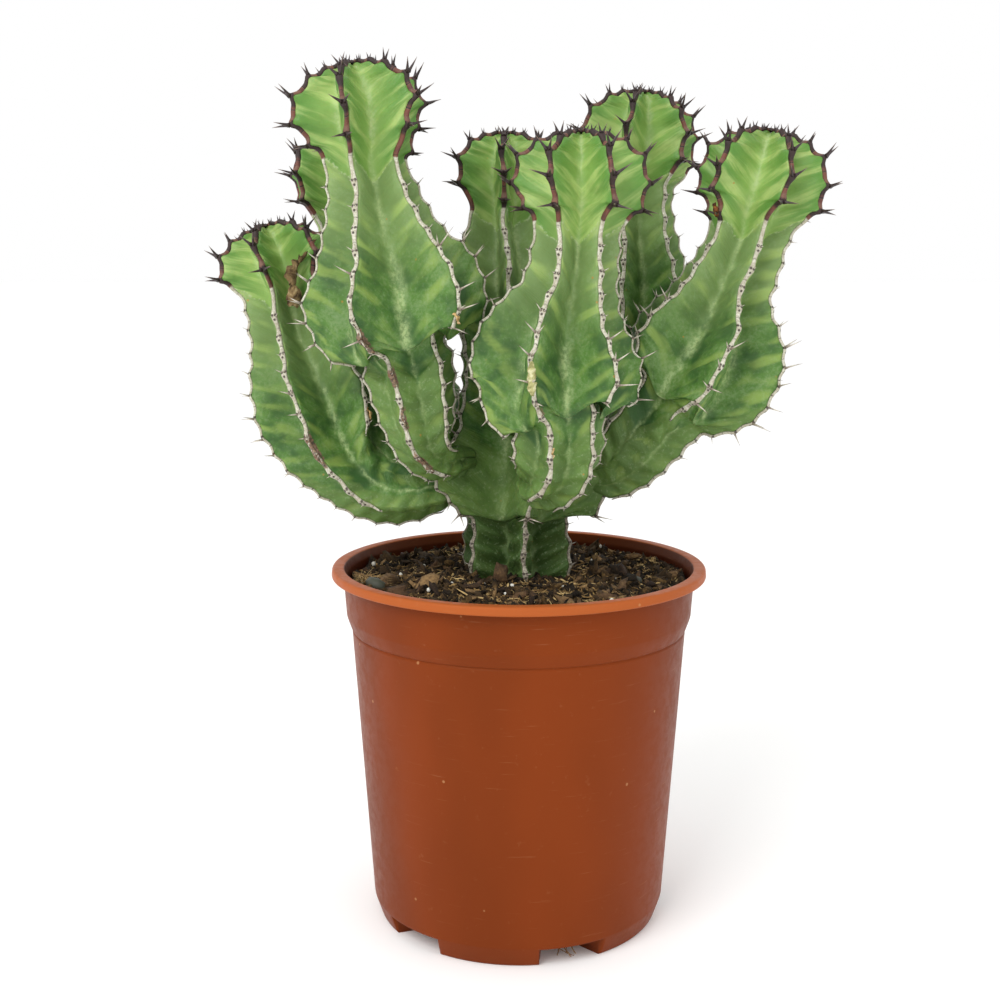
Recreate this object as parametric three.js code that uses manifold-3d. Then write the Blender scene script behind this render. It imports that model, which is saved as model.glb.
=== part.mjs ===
// Potted euphorbia: a young candelabra spurge in a round plastic nursery pot.
// Millimetres, +Z up. The origin is on the floor, on the axis of the pot; -Y is the front.
//
// The plant has one main stem, rooted in the potting mix, and six arms that grow out of its ribs.
// Every stem has six winged ribs with a horny margin along each crest. The margins carry low teeth
// with a pair of spines on each, and run together at the growing tip.

import * as THREE from 'three';
import { mergeVertices } from 'three/addons/utils/BufferGeometryUtils.js';
import Module from 'manifold-3d';

const wasm = await Module();
wasm.setup();

// ---------------------------------------------------------------- driving dimensions

const GAP = 0.3; // clearance between pieces that touch

// Pot
const POT_SIDES = 40;
const RIM_RADIUS = 85;
const RIM_INNER_RADIUS = 79.3;
const RIM_TOP = 163.4;
const RIM_DEPTH = 4; // height of the flange under the rim
const BAND_TOP_RADIUS = 79.6;
const BAND_BOTTOM_RADIUS = 78.4;
const BAND_BOTTOM = 142; // where the band under the rim steps in
const SHOULDER_RADIUS = 76.1;
const SHOULDER_BOTTOM = 135.6;
const WALL_BASE_RADIUS = 67.6;
const FOOT_TOP = 9.1; // height of the bend above the foot
const FOOT_RADIUS = 64.5;
const FOOT_INNER_RADIUS = 52;
const WALL = 1.6;
const FLOOR_UNDERSIDE = 8;
const NOTCH_HEIGHT = 8.2;
const NOTCH_ANGLES = [-45, 20, 93.75, 167.5, 241.25]; // degrees from the front, towards +X
const NOTCH_OUTER_WIDTH = 29.5;
const NOTCH_INNER_WIDTH = 18;
const DRAIN_RADIUS = 4.5;
const DRAIN_RING_RADIUS = 45;

// Potting mix
const SOIL_LEVEL = 156;
const SOIL_CROWN = 2.2; // how far it rises around the stem
const SOIL_LUMP = 1.1;
const SOIL_SIDES = 24;
const STEM_HOLE_FLOOR = 136;
const STEM_HOLE_RADIUS = 25.2;

// Ribbed stems
const RING_SPAN = 20; // the longest run between two rings
const GROOVE = 0.44; // groove radius over rib radius
const GROOVE_INSET = 0.3; // share of the margin's height that the grooves give way, off the dome
const GROOVE_ROOM = 0.4; // how far the room round a stem stands off its grooves
const CREST_WIDTH = 2.8;
const MARGIN_WIDTH = 3.4;
const MARGIN_HEIGHT = 1.5;
const TOOTH_RISE = 1.5;
const TOOTH_LENGTH = 2.8;
const TOOTH_RUN = 7; // the shortest run of crest that bears a tooth
const SPINE_LENGTH = 7.5;
const SPINE_GIRTHS = [8, 26]; // rib radius where spines are shortest, and where they are full length
const SPINE_ROOM = 4; // how far a spine keeps off another stem's ribs
const DOME_STEPS = [28, 53, 75]; // degrees round the crown's quarter ellipse
const BUD_RADIUS = 9;
const BUD_HEIGHT = 1.8;
const BUD_SIDES = 12;

const EVEN_RIBS = [0, 60, 120, 180, 240, 300]; // degrees round the stem after the first rib
const MARGIN_FROM = 2; // the first ring that carries margins

// Each station is [x, y, z, rib radius, turn]. The turn is the angle of the first rib from the
// front, in degrees towards +X, and ribs gives the others after it. dome is the height of the crown
// above its widest ring. A rib under uneven has its own share of the rib radius, as rows of
// [height, share]: old growth has fewer ribs, and a rib that bears an arm stands out further.
// bareUnder gives the height under which such a rib bears no margin.
const MAIN_STEM = {
  name: 'main_stem',
  ribs: EVEN_RIBS,
  dome: 15,
  uneven: { 5: [[188, 1], [195, 1.13], [211, 1.13], [224, 1]] },
  stations: [
    [-1, 5, 136.3, 24, 8], [-1, 5, 148, 25.5, 8], [-1, 5, 160.5, 26.6, 8], [-1, 5, 173, 26, 8],
    [-1, 5, 185, 25, 8], [-1, 5, 190, 35, 8], [0, 5, 198, 41, 8], [0, 6, 210, 41, 8],
    [0, 7, 222, 36, 7], [-1, 8, 235, 30, 6], [-2, 10, 250, 26.5, 5], [-3, 13, 266, 26, 3],
    [-4, 15, 282, 26, 1], [-5, 18, 300, 25, -1], [-6, 21, 316, 19.5, -2], [-6, 22, 324, 19, -3],
    [-6, 22, 333, 23, -3], [-6, 22, 342, 24.5, -3],
  ],
};

const ARMS = [
  {
    name: 'arm_left_front',
    ribs: [0, 67, 120, 180, 238, 294],
    dome: 19,
    stations: [
      [-23, -12, 213, 7, -16], [-33, -25, 214, 10, -16], [-40, -33, 221, 13, -16],
      [-43, -37, 233, 16, -17], [-45, -38, 246, 18.5, -18], [-47, -38, 256, 19.5, -19],
      [-49, -38, 263, 19, -21], [-51, -38, 269, 34, -22], [-52, -38, 281, 38.5, -22],
      [-54, -38, 293, 36.5, -21], [-57, -38, 306, 27.5, -19], [-60, -38, 322, 20.5, -18],
      [-63, -38, 337, 17.5, -15], [-64, -38, 348, 22.5, -11], [-66, -38, 360, 28.5, -7],
    ],
  },
  {
    name: 'arm_left',
    ribs: EVEN_RIBS,
    dome: 17,
    uneven: { 1: [[205, 0.62], [217, 1]] },
    bareUnder: 214,
    stations: [
      [-16, -2, 206, 8, -34], [-33, -8, 203, 13, -34], [-50, -10, 201, 17.5, -33],
      [-61, -10, 203, 19.5, -29], [-71, -9, 210, 22, -23], [-79, -7, 220, 27, -17],
      [-84, -5, 229, 29.5, -14], [-88, -3, 238, 31, -12], [-95, 0, 255, 27, -11],
      [-101, 2, 270, 20, -10], [-104, 3, 286, 20, -8], [-108, 4, 299, 26.5, -6],
    ],
  },
  {
    name: 'arm_back_left',
    ribs: EVEN_RIBS,
    dome: 17,
    stations: [
      [-27, 18, 218, 8, 10], [-37, 29, 225, 14, 10], [-47, 40, 239, 21, 10], [-57, 48, 256, 25, 10],
      [-67, 50, 276, 24.5, 10], [-75, 50, 296, 21, 10], [-79, 50, 316, 17.5, 10], [-81, 50, 330, 25, 10],
      [-82, 50, 343, 27.5, 10],
    ],
  },
  {
    name: 'arm_front',
    ribs: [0, 56, 119, 180, 240, 297],
    dome: 17,
    stations: [
      [5, -24, 204, 8, -8], [10, -36, 206, 13, -8], [14, -44, 213, 17.5, -9], [16, -48, 223, 20, -11],
      [16, -49, 233, 20, -14], [14, -48, 240, 30, -17], [15, -47, 250, 36, -18],
      [15, -47, 262, 35.5, -19], [17, -47, 274, 29.5, -20], [20, -47, 287, 21, -22],
      [22, -47, 301, 18.5, -24], [23, -47, 313, 19, -27], [24, -47, 324, 26.5, -29],
      [24, -47, 334, 27.5, -31],
    ],
  },
  {
    name: 'arm_back_right',
    ribs: EVEN_RIBS,
    dome: 20,
    stations: [
      [22, 22, 218, 8, -25], [34, 31, 224, 13, -25], [46, 40, 235, 20, -25], [54, 46, 252, 26, -24],
      [57, 48, 272, 26, -23], [57, 49, 292, 24.5, -21], [55, 49, 312, 21, -19], [54, 49, 333, 20.5, -17],
      [56, 49, 347, 27.5, -17], [57, 49, 358.5, 28.5, -17],
    ],
  },
  {
    name: 'arm_right',
    ribs: [0, 66, 122, 180, 240, 298],
    dome: 18,
    uneven: { 1: [[222, 0.62], [238, 1]] },
    bareUnder: 233,
    stations: [
      [30, -4, 204, 8, -61], [40, -7, 207, 14, -61], [48, -9, 215, 18, -61], [57, -11, 226, 19.5, -61],
      [66, -12, 236, 20, -61], [71, -12, 242, 31, -62], [79, -12, 255, 37, -62], [84, -12, 270, 33.5, -58],
      [89, -12, 286, 22.5, -57], [95, -12, 300, 19, -57], [99, -12, 314, 19.5, -56],
      [102, -12, 326, 27.5, -54], [104, -12, 337, 28, -51],
    ],
  },
];

// ---------------------------------------------------------------- finishes

function finish(colour, roughness) {
  return new THREE.MeshStandardMaterial({ color: colour, roughness, metalness: 0 });
}

const TERRACOTTA_PLASTIC = finish('#8a4a36', 0.55);
const PEAT_MIX = finish('#4a3524', 0.95);
const OLD_GREEN = finish('#5f8f4a', 0.6);
const YOUNG_GREEN = finish('#6fa24c', 0.55);
const HORNY_MARGIN = finish('#5a3a32', 0.7);

// ---------------------------------------------------------------- solids

function toManifold(geometry) {
  const bare = geometry.index ? geometry.clone() : geometry;
  bare.deleteAttribute('normal');
  bare.deleteAttribute('uv');
  const merged = mergeVertices(bare, 1e-4);
  const mesh = new wasm.Mesh({
    numProp: 3,
    vertProperties: Float32Array.from(merged.attributes.position.array),
    triVerts: Uint32Array.from(merged.index.array),
  });
  return new wasm.Manifold(mesh);
}

function toGeometry(solid) {
  const mesh = solid.getMesh();
  const geometry = new THREE.BufferGeometry();
  geometry.setAttribute('position', new THREE.BufferAttribute(Float32Array.from(mesh.vertProperties), 3));
  geometry.setIndex(new THREE.BufferAttribute(Uint32Array.from(mesh.triVerts), 1));
  geometry.computeVertexNormals();
  return geometry;
}

function largestPiece(solid) {
  return solid.decompose().sort((a, b) => b.volume() - a.volume())[0];
}

function geometryOf(points, faces) {
  const geometry = new THREE.BufferGeometry();
  geometry.setAttribute('position', new THREE.Float32BufferAttribute(points.flatMap((p) => p.toArray()), 3));
  geometry.setIndex(faces);
  geometry.computeVertexNormals();
  return geometry;
}

// ---------------------------------------------------------------- pot

function potProfile() {
  const wallAt = (height) => {
    const share = (height - FOOT_TOP) / (SHOULDER_BOTTOM - FOOT_TOP);
    return WALL_BASE_RADIUS + share * (SHOULDER_RADIUS - WALL_BASE_RADIUS);
  };
  return [
    [0, FLOOR_UNDERSIDE],
    [FOOT_INNER_RADIUS, FLOOR_UNDERSIDE],
    [FOOT_INNER_RADIUS, 0],
    [FOOT_RADIUS, 0],
    [WALL_BASE_RADIUS, FOOT_TOP],
    [SHOULDER_RADIUS, SHOULDER_BOTTOM],
    [BAND_BOTTOM_RADIUS - 0.6, BAND_BOTTOM - 2],
    [BAND_BOTTOM_RADIUS, BAND_BOTTOM],
    [BAND_TOP_RADIUS, RIM_TOP - RIM_DEPTH],
    [RIM_RADIUS, RIM_TOP - RIM_DEPTH],
    [RIM_RADIUS - 0.4, RIM_TOP],
    [RIM_INNER_RADIUS, RIM_TOP],
    [BAND_TOP_RADIUS - WALL, RIM_TOP - RIM_DEPTH],
    [BAND_BOTTOM_RADIUS - WALL, BAND_BOTTOM],
    [wallAt(SHOULDER_BOTTOM) - WALL, SHOULDER_BOTTOM - 1],
    [wallAt(FOOT_TOP) - WALL, FLOOR_UNDERSIDE + WALL],
    [0, FLOOR_UNDERSIDE + WALL],
  ].map(([radius, height]) => new THREE.Vector2(radius, height));
}

// A drainage notch: a trapezoid in plan, wide outside and narrow inside, pushed up into the foot.
function notchCutter(degrees) {
  const outside = RIM_RADIUS;
  const inside = FOOT_INNER_RADIUS - 4;
  const flare = (NOTCH_OUTER_WIDTH - NOTCH_INNER_WIDTH) / (FOOT_RADIUS - FOOT_INNER_RADIUS);
  const halfAt = (radius) => (NOTCH_INNER_WIDTH + flare * (radius - FOOT_INNER_RADIUS)) / 2;
  const plan = new THREE.Shape([
    new THREE.Vector2(-halfAt(inside), -inside),
    new THREE.Vector2(-halfAt(outside), -outside),
    new THREE.Vector2(halfAt(outside), -outside),
    new THREE.Vector2(halfAt(inside), -inside),
  ]);
  const cutter = new THREE.ExtrudeGeometry(plan, { depth: NOTCH_HEIGHT + 1, bevelEnabled: false });
  cutter.translate(0, 0, -1);
  cutter.rotateZ(THREE.MathUtils.degToRad(degrees));
  return toManifold(cutter);
}

function drainCutter(degrees) {
  const cutter = new THREE.CylinderGeometry(DRAIN_RADIUS, DRAIN_RADIUS, 12, 12);
  cutter.rotateX(Math.PI / 2);
  cutter.translate(0, -DRAIN_RING_RADIUS, FLOOR_UNDERSIDE);
  cutter.rotateZ(THREE.MathUtils.degToRad(degrees));
  return toManifold(cutter);
}

function lathe(profile, sides) {
  const geometry = new THREE.LatheGeometry(profile, sides);
  geometry.rotateX(Math.PI / 2);
  return toManifold(geometry);
}

function potSolid() {
  let pot = lathe(potProfile(), POT_SIDES);
  for (const degrees of NOTCH_ANGLES) {
    pot = pot.subtract(notchCutter(degrees)).subtract(drainCutter(degrees));
  }
  return pot;
}

// ---------------------------------------------------------------- potting mix

// Height of the mix: a low crown round the stem with small lumps from three crossing waves.
function soilHeight(x, y) {
  const fall = THREE.MathUtils.smoothstep(Math.hypot(x, y), 30, 72);
  const lumps = Math.sin(x * 0.19 + 1.3) + Math.sin(y * 0.23 + x * 0.08) + Math.sin((x - y) * 0.13);
  return SOIL_LEVEL + SOIL_CROWN * (1 - fall) + (SOIL_LUMP * lumps) / 3;
}

function soilSolid() {
  const wallRadius = (height) => {
    const share = (height - FOOT_TOP) / (SHOULDER_BOTTOM - FOOT_TOP);
    return WALL_BASE_RADIUS + share * (SHOULDER_RADIUS - WALL_BASE_RADIUS) - WALL - GAP - 0.4;
  };
  const floor = FLOOR_UNDERSIDE + WALL + GAP;
  const edge = BAND_BOTTOM_RADIUS - WALL - GAP - 0.3;
  const outline = [
    [0, floor], [wallRadius(floor) - 0.4, floor], [wallRadius(SHOULDER_BOTTOM - 2), SHOULDER_BOTTOM - 2],
    [edge, BAND_BOTTOM + 2], [edge, SOIL_LEVEL], [60, SOIL_LEVEL], [44, SOIL_LEVEL], [32, SOIL_LEVEL],
    [0, SOIL_LEVEL],
  ].map(([radius, height]) => new THREE.Vector2(radius, height));
  const body = new THREE.LatheGeometry(outline, SOIL_SIDES);
  body.rotateX(Math.PI / 2);
  const place = body.attributes.position;
  for (let i = 0; i < place.count; i += 1) {
    if (place.getZ(i) > SOIL_LEVEL - 1) place.setZ(i, soilHeight(place.getX(i), place.getY(i)));
  }
  const depth = SOIL_LEVEL + 20 - STEM_HOLE_FLOOR;
  const hole = new THREE.CylinderGeometry(STEM_HOLE_RADIUS, STEM_HOLE_RADIUS, depth, SOIL_SIDES);
  hole.rotateX(Math.PI / 2);
  const [x, y] = MAIN_STEM.stations[0];
  hole.translate(x, y, STEM_HOLE_FLOOR + depth / 2);
  return toManifold(body).subtract(toManifold(hole));
}

// ---------------------------------------------------------------- ribbed stems

function smoothCurve(points) {
  return new THREE.CatmullRomCurve3(points, false, 'catmullrom', 0.5);
}

// Where the rings stand along a stem's curve: at every station, and evenly over the longer runs.
function ringPlaces(points) {
  const spans = points.length - 1;
  const places = [0];
  for (let i = 0; i < spans; i += 1) {
    const parts = Math.ceil(points[i].distanceTo(points[i + 1]) / RING_SPAN);
    for (let k = 1; k <= parts; k += 1) {
      places.push((i + k / parts) / spans);
    }
  }
  return places;
}

// Rings along a stem up to the crown's widest place, then the dome over the tip.
function stemRings(stem) {
  const points = stem.stations.map(([x, y, z]) => new THREE.Vector3(x, y, z));
  const axis = smoothCurve(points);
  const shape = smoothCurve(stem.stations.map(([, , , girth, turn]) => new THREE.Vector3(girth, turn, 0)));
  const rings = ringPlaces(points).map((t) => {
    const { x: girth, y: turn } = shape.getPoint(t);
    return { centre: axis.getPoint(t), along: axis.getTangent(t), girth, turn };
  });
  const crown = rings[rings.length - 1];
  for (const degrees of DOME_STEPS) {
    const lift = THREE.MathUtils.degToRad(degrees);
    const centre = crown.centre.clone().addScaledVector(crown.along, stem.dome * Math.sin(lift));
    rings.push({ ...crown, centre, girth: crown.girth * Math.cos(lift) });
  }
  rings.forEach((ring, i) => {
    const before = rings[Math.max(i - 1, 0)];
    const after = rings[Math.min(i + 1, rings.length - 1)];
    const run = after.centre.distanceTo(before.centre);
    ring.lean = Math.atan2(after.girth - before.girth, run);
    ring.front = new THREE.Vector3(0, -1, 0);
    ring.front.addScaledVector(ring.along, ring.along.y).normalize();
    ring.right = ring.along.clone().cross(ring.front);
  });
  return rings;
}

// The direction from a ring's centre to a place round it, and the outward normal of the rib's
// outline there, which leans back where the girth grows.
function spoke(ring, degrees) {
  const angle = THREE.MathUtils.degToRad(degrees);
  const out = ring.front.clone().multiplyScalar(Math.cos(angle)).addScaledVector(ring.right, Math.sin(angle));
  const normal = out.clone().multiplyScalar(Math.cos(ring.lean));
  normal.addScaledVector(ring.along, -Math.sin(ring.lean));
  return { out, normal, side: ring.along.clone().cross(out) };
}

// The radius of one rib at a ring.
function ribRadius(stem, ring, rib) {
  const rows = stem.uneven?.[rib];
  if (!rows) return ring.girth;
  const height = ring.centre.z;
  const after = rows.findIndex(([z]) => z > height);
  if (after < 0) return ring.girth * rows[rows.length - 1][1];
  if (after === 0) return ring.girth * rows[0][1];
  const [[lowZ, low], [highZ, high]] = [rows[after - 1], rows[after]];
  return ring.girth * THREE.MathUtils.lerp(low, high, (height - lowZ) / (highZ - lowZ));
}

// A ring of a ribbed section: two crest corners and a groove for each rib. The flesh's crests lie
// under the margins; crestRise and grooveRise lift the section off the flesh.
function sectionPoints(stem, ring, crestWidth, crestRise, grooveRise) {
  const points = [];
  const inset = MARGIN_HEIGHT + GAP;
  const grooveShare = GROOVE_INSET + (1 - GROOVE_INSET) * Math.sin(ring.lean) ** 2;
  for (const [rib, angle] of stem.ribs.entries()) {
    const crest = spoke(ring, ring.turn + angle);
    const half = Math.min(crestWidth / 2, ring.girth * 0.16);
    const top = ring.centre.clone().addScaledVector(crest.out, ribRadius(stem, ring, rib));
    top.addScaledVector(crest.normal, crestRise - inset);
    points.push(top.clone().addScaledVector(crest.side, -half));
    points.push(top.clone().addScaledVector(crest.side, half));
    const nextAngle = stem.ribs[rib + 1] ?? 360;
    const groove = spoke(ring, ring.turn + (angle + nextAngle) / 2);
    const low = ring.centre.clone().addScaledVector(groove.out, ring.girth * GROOVE);
    points.push(low.addScaledVector(groove.normal, grooveRise - inset * grooveShare));
  }
  return points;
}

// A closed body over a stack of rings with equally many points.
function skinned(sections, bottom, top) {
  const size = sections[0].length;
  const points = [...sections.flat(), bottom, top];
  const foot = points.length - 2;
  const tip = points.length - 1;
  const last = (sections.length - 1) * size;
  const faces = [];
  for (let k = 0; k < size; k += 1) {
    const next = (k + 1) % size;
    faces.push(foot, next, k, tip, last + k, last + next);
    for (let row = 0; row < last; row += size) {
      faces.push(row + k, row + next, row + size + k, row + next, row + size + next, row + size + k);
    }
  }
  return toManifold(geometryOf(points, faces));
}

function ribbedBody(stem, crestWidth, crestRise, grooveRise) {
  const rings = stem.rings;
  const sections = rings.map((ring) => sectionPoints(stem, ring, crestWidth, crestRise, grooveRise));
  const crown = rings[rings.length - DOME_STEPS.length - 1];
  const height = stem.dome - MARGIN_HEIGHT - GAP + crestRise;
  const tip = crown.centre.clone().addScaledVector(crown.along, height);
  return skinned(sections, rings[0].centre, tip);
}

function fleshOf(stem) {
  return ribbedBody(stem, CREST_WIDTH, 0, 0);
}

// The room that a stem takes up with its margins and teeth, and the gap round it.
function roomOf(stem) {
  const crestRise = MARGIN_HEIGHT + TOOTH_RISE + 2 * GAP;
  return ribbedBody(stem, MARGIN_WIDTH + 2 * GAP, crestRise, GROOVE_ROOM);
}

// ---------------------------------------------------------------- margins and spines

function mixedRing(ring, next, share) {
  const blend = (key) => ring[key].clone().lerp(next[key], share);
  const number = (key) => THREE.MathUtils.lerp(ring[key], next[key], share);
  return {
    centre: blend('centre'), along: blend('along').normalize(), front: blend('front').normalize(),
    right: blend('right').normalize(), girth: number('girth'), turn: number('turn'), lean: number('lean'),
  };
}

// The margin's section on one rib: two bottom corners just over the crest, and the top.
function marginSection(stem, ring, rib) {
  const crest = spoke(ring, ring.turn + stem.ribs[rib]);
  const half = Math.min(MARGIN_WIDTH / 2, ring.girth * 0.2);
  const top = ring.centre.clone().addScaledVector(crest.out, ribRadius(stem, ring, rib));
  const base = top.clone().addScaledVector(crest.normal, -MARGIN_HEIGHT);
  return [
    base.clone().addScaledVector(crest.side, -half),
    base.clone().addScaledVector(crest.side, half),
    top,
  ];
}

function spineTip(ring, angle, foot, hand) {
  const crest = spoke(ring, ring.turn + angle);
  const way = crest.normal.clone().multiplyScalar(0.78).addScaledVector(crest.side, 0.52 * hand);
  way.addScaledVector(ring.along, 0.34).normalize();
  const share = THREE.MathUtils.smoothstep(ring.girth, ...SPINE_GIRTHS);
  return foot.clone().addScaledVector(way, SPINE_LENGTH * THREE.MathUtils.lerp(0.35, 1, share));
}

// Whether a point keeps clear of every other stem's ribs.
function isClear(point, stem, stems) {
  return stems.every((other) => other === stem || other.samples.every(
    ({ centre, girth }) => centre.distanceTo(point) > girth + SPINE_ROOM,
  ));
}

// The places round a tooth's spines: which flank each grows from.
const FLANKS = [
  { from: 0, to: 2, hand: -1 },
  { from: 2, to: 1, hand: 1 },
  { from: 1, to: 0, hand: 0 },
];

// Joins two sections of a margin. A flank that bears a spine is drawn out to the spine's tip.
function joinSections(faces, points, low, high, tips) {
  for (const { from, to, hand } of FLANKS) {
    faces.push(low + from, low + to, high + from);
    if (tips[hand]) {
      const tip = points.push(tips[hand]) - 1;
      faces.push(low + to, high + to, tip, high + to, high + from, tip, high + from, low + to, tip);
    } else {
      faces.push(low + to, high + to, high + from);
    }
  }
}

// One rib's margin: a three-sided bar with two sections per tooth, and a spine out of each flank
// of every tooth.
function marginOf(stem, rib, stems) {
  const angle = stem.ribs[rib];
  const bare = stem.uneven?.[rib] && stem.bareUnder ? stem.bareUnder : 0;
  const rings = stem.rings.slice(MARGIN_FROM).filter((ring) => ring.centre.z > bare);
  const feet = rings.map((ring) => marginSection(stem, ring, rib));
  const points = [];
  const faces = [];
  const place = (section) => points.push(...section) - 3;
  let last = place(feet[0]);
  for (let i = 0; i + 1 < rings.length; i += 1) {
    const run = feet[i][2].distanceTo(feet[i + 1][2]);
    if (run > TOOTH_RUN) {
      const share = Math.min(TOOTH_LENGTH / run, 0.5);
      const ring = mixedRing(rings[i], rings[i + 1], share);
      const tooth = feet[i].map((corner, k) => corner.clone().lerp(feet[i + 1][k], share));
      const { normal } = spoke(ring, ring.turn + angle);
      tooth[2].addScaledVector(normal, TOOTH_RISE * THREE.MathUtils.clamp(ring.girth / 20, 0.3, 1));
      const tips = {};
      for (const hand of [-1, 1]) {
        const tip = spineTip(ring, angle, tooth[2], hand);
        const middle = tooth[2].clone().lerp(tip, 0.6);
        if (isClear(tip, stem, stems) && isClear(middle, stem, stems)) tips[hand] = tip;
      }
      const high = place(tooth);
      joinSections(faces, points, last, high, tips);
      last = high;
    }
    const next = place(feet[i + 1]);
    joinSections(faces, points, last, next, {});
    last = next;
  }
  faces.push(0, 1, 2, last, last + 2, last + 1);
  return toManifold(geometryOf(points, faces));
}

// The bud at the growing tip, where the margins run together.
function budOf(stem) {
  const rings = stem.rings;
  const crown = rings[rings.length - DOME_STEPS.length - 1];
  const bud = new THREE.ConeGeometry(BUD_RADIUS, BUD_HEIGHT, BUD_SIDES, 1);
  bud.rotateX(Math.PI / 2);
  bud.translate(0, 0, BUD_HEIGHT / 2 - MARGIN_HEIGHT);
  const upright = new THREE.Quaternion().setFromUnitVectors(new THREE.Vector3(0, 0, 1), crown.along);
  bud.applyQuaternion(upright);
  const tip = crown.centre.clone().addScaledVector(crown.along, stem.dome);
  bud.translate(tip.x, tip.y, tip.z);
  return toManifold(bud);
}

function marginsOf(stem, stems) {
  let margins = budOf(stem);
  for (let rib = 0; rib < stem.ribs.length; rib += 1) {
    margins = margins.add(marginOf(stem, rib, stems));
  }
  return margins;
}

// ---------------------------------------------------------------- assembly

function named(name, solid, material) {
  const mesh = new THREE.Mesh(toGeometry(solid), material);
  mesh.name = name;
  return mesh;
}

function plant() {
  const group = new THREE.Group();
  const stems = [MAIN_STEM, ...ARMS];
  for (const stem of stems) {
    stem.rings = stemRings(stem);
    stem.samples = stem.rings.flatMap((ring, i, all) => {
      const next = all[Math.min(i + 1, all.length - 1)];
      return [0, 0.25, 0.5, 0.75].map((share) => mixedRing(ring, next, share));
    });
  }
  const mainRoom = roomOf(MAIN_STEM);
  for (const stem of stems) {
    const flesh = stem === MAIN_STEM ? fleshOf(stem) : largestPiece(fleshOf(stem).subtract(mainRoom));
    group.add(named(stem.name, flesh, stem === MAIN_STEM ? OLD_GREEN : YOUNG_GREEN));
    group.add(named(`${stem.name}_spines`, marginsOf(stem, stems), HORNY_MARGIN));
  }
  return group;
}

const group = new THREE.Group();
group.add(named('pot', potSolid(), TERRACOTTA_PLASTIC));
group.add(named('potting_mix', soilSolid(), PEAT_MIX));
group.add(plant());

export default group;
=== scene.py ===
"""Potted euphorbia: a young candelabra spurge in a terracotta-coloured nursery pot.

The plant has one main stem and six arms, each with six winged ribs. A rib ends in a horny margin
that bears teeth, and each tooth bears a pair of spines. Lengths in the tables and in the functions
are millimetres, with the origin on the floor under the pot and -Y as the front. Meshes are written
in metres.
"""

from __future__ import annotations

import logging
import math
from dataclasses import dataclass, field
from enum import Enum

import bpy
import numpy as np
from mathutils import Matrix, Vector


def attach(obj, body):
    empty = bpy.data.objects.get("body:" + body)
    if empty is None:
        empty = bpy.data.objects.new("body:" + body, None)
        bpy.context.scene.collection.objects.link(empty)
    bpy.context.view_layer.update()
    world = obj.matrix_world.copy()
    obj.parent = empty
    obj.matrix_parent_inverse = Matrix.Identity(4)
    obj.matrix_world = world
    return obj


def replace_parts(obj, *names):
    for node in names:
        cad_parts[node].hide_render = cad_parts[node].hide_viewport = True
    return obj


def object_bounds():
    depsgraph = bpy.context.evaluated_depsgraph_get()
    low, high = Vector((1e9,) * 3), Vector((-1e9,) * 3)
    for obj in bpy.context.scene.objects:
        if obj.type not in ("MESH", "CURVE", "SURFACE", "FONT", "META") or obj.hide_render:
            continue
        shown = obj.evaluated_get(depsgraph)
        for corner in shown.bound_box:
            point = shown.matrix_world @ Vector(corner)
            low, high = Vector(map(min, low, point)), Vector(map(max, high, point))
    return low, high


LOG = logging.getLogger("potted_euphorbia")
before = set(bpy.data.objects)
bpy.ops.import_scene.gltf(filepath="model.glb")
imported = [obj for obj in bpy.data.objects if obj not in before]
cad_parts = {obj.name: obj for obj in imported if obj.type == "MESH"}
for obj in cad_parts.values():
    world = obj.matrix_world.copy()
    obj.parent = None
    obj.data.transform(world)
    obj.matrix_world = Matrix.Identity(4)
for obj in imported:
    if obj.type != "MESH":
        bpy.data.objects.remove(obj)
CAD_BOX = [list(corner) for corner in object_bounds()]

Point = tuple[float, float, float]
TURN = 2 * math.pi
SINES = 9  # sines in a soft random field
ROW_STEP = 1.15  # mm between rows of a stem's skin, so that a tooth gets several rows
FLANK = (0, 0.035, 0.09, 0.17, 0.27, 0.38, 0.5, 0.62, 0.73, 0.83, 0.91, 0.965, 1.0)  # places down a flank
INSET = 1.8  # mm from the top of a margin down to the flesh under it
GROOVE = 0.44  # groove radius over rib radius
UNDER_NECK, GROWN, FIRST, TRUNK = 1.0, 1.3, 1.6, 2.0  # ages of the skin, which is 0 on a crown
SPINE_LENGTH = 7.5
SPINE_TAPER = (1.75, 1.0, 0.78, 0.55, 0.3, 0.07)  # radius along a spine, over its thickness
BALL_ROWS, BALL_COLUMNS = 3, 8  # rings of a crumb, and points round each


class Slot(Enum):
    """The record's material slots."""

    PLASTIC = "terracotta_plastic"
    PEAT = "peat_mix"
    OLD_GREEN = "old_green"
    YOUNG_GREEN = "young_green"
    HORN = "horny_margin"


# ------------------------------------------------------------------ small helpers


def linear(colour: str) -> tuple[float, ...]:
    """Turns an sRGB hex colour into linear RGBA.

    Each channel c is c / 12.92 up to 0.04045 and ((c + 0.055) / 1.055) ^ 2.4 above it.

    Args:
        colour: the colour as "#rrggbb".

    Returns:
        Linear red, green and blue, and an alpha of 1.
    """
    parts = [int(colour[i : i + 2], 16) / 255 for i in (1, 3, 5)]
    return (*(c / 12.92 if c <= 0.04045 else ((c + 0.055) / 1.055) ** 2.4 for c in parts), 1.0)


def smooth(value: np.ndarray, low: float, high: float) -> np.ndarray:
    """Rises smoothly from 0 at low to 1 at high: with share s clipped to 0..1, s * s * (3 - 2 s)."""
    share = np.clip((value - low) / (high - low), 0.0, 1.0)
    return share * share * (3 - 2 * share)


def unit(vectors: np.ndarray) -> np.ndarray:
    """Each vector over its own length."""
    return vectors / np.maximum(np.linalg.norm(vectors, axis=-1, keepdims=True), 1e-9)


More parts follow.
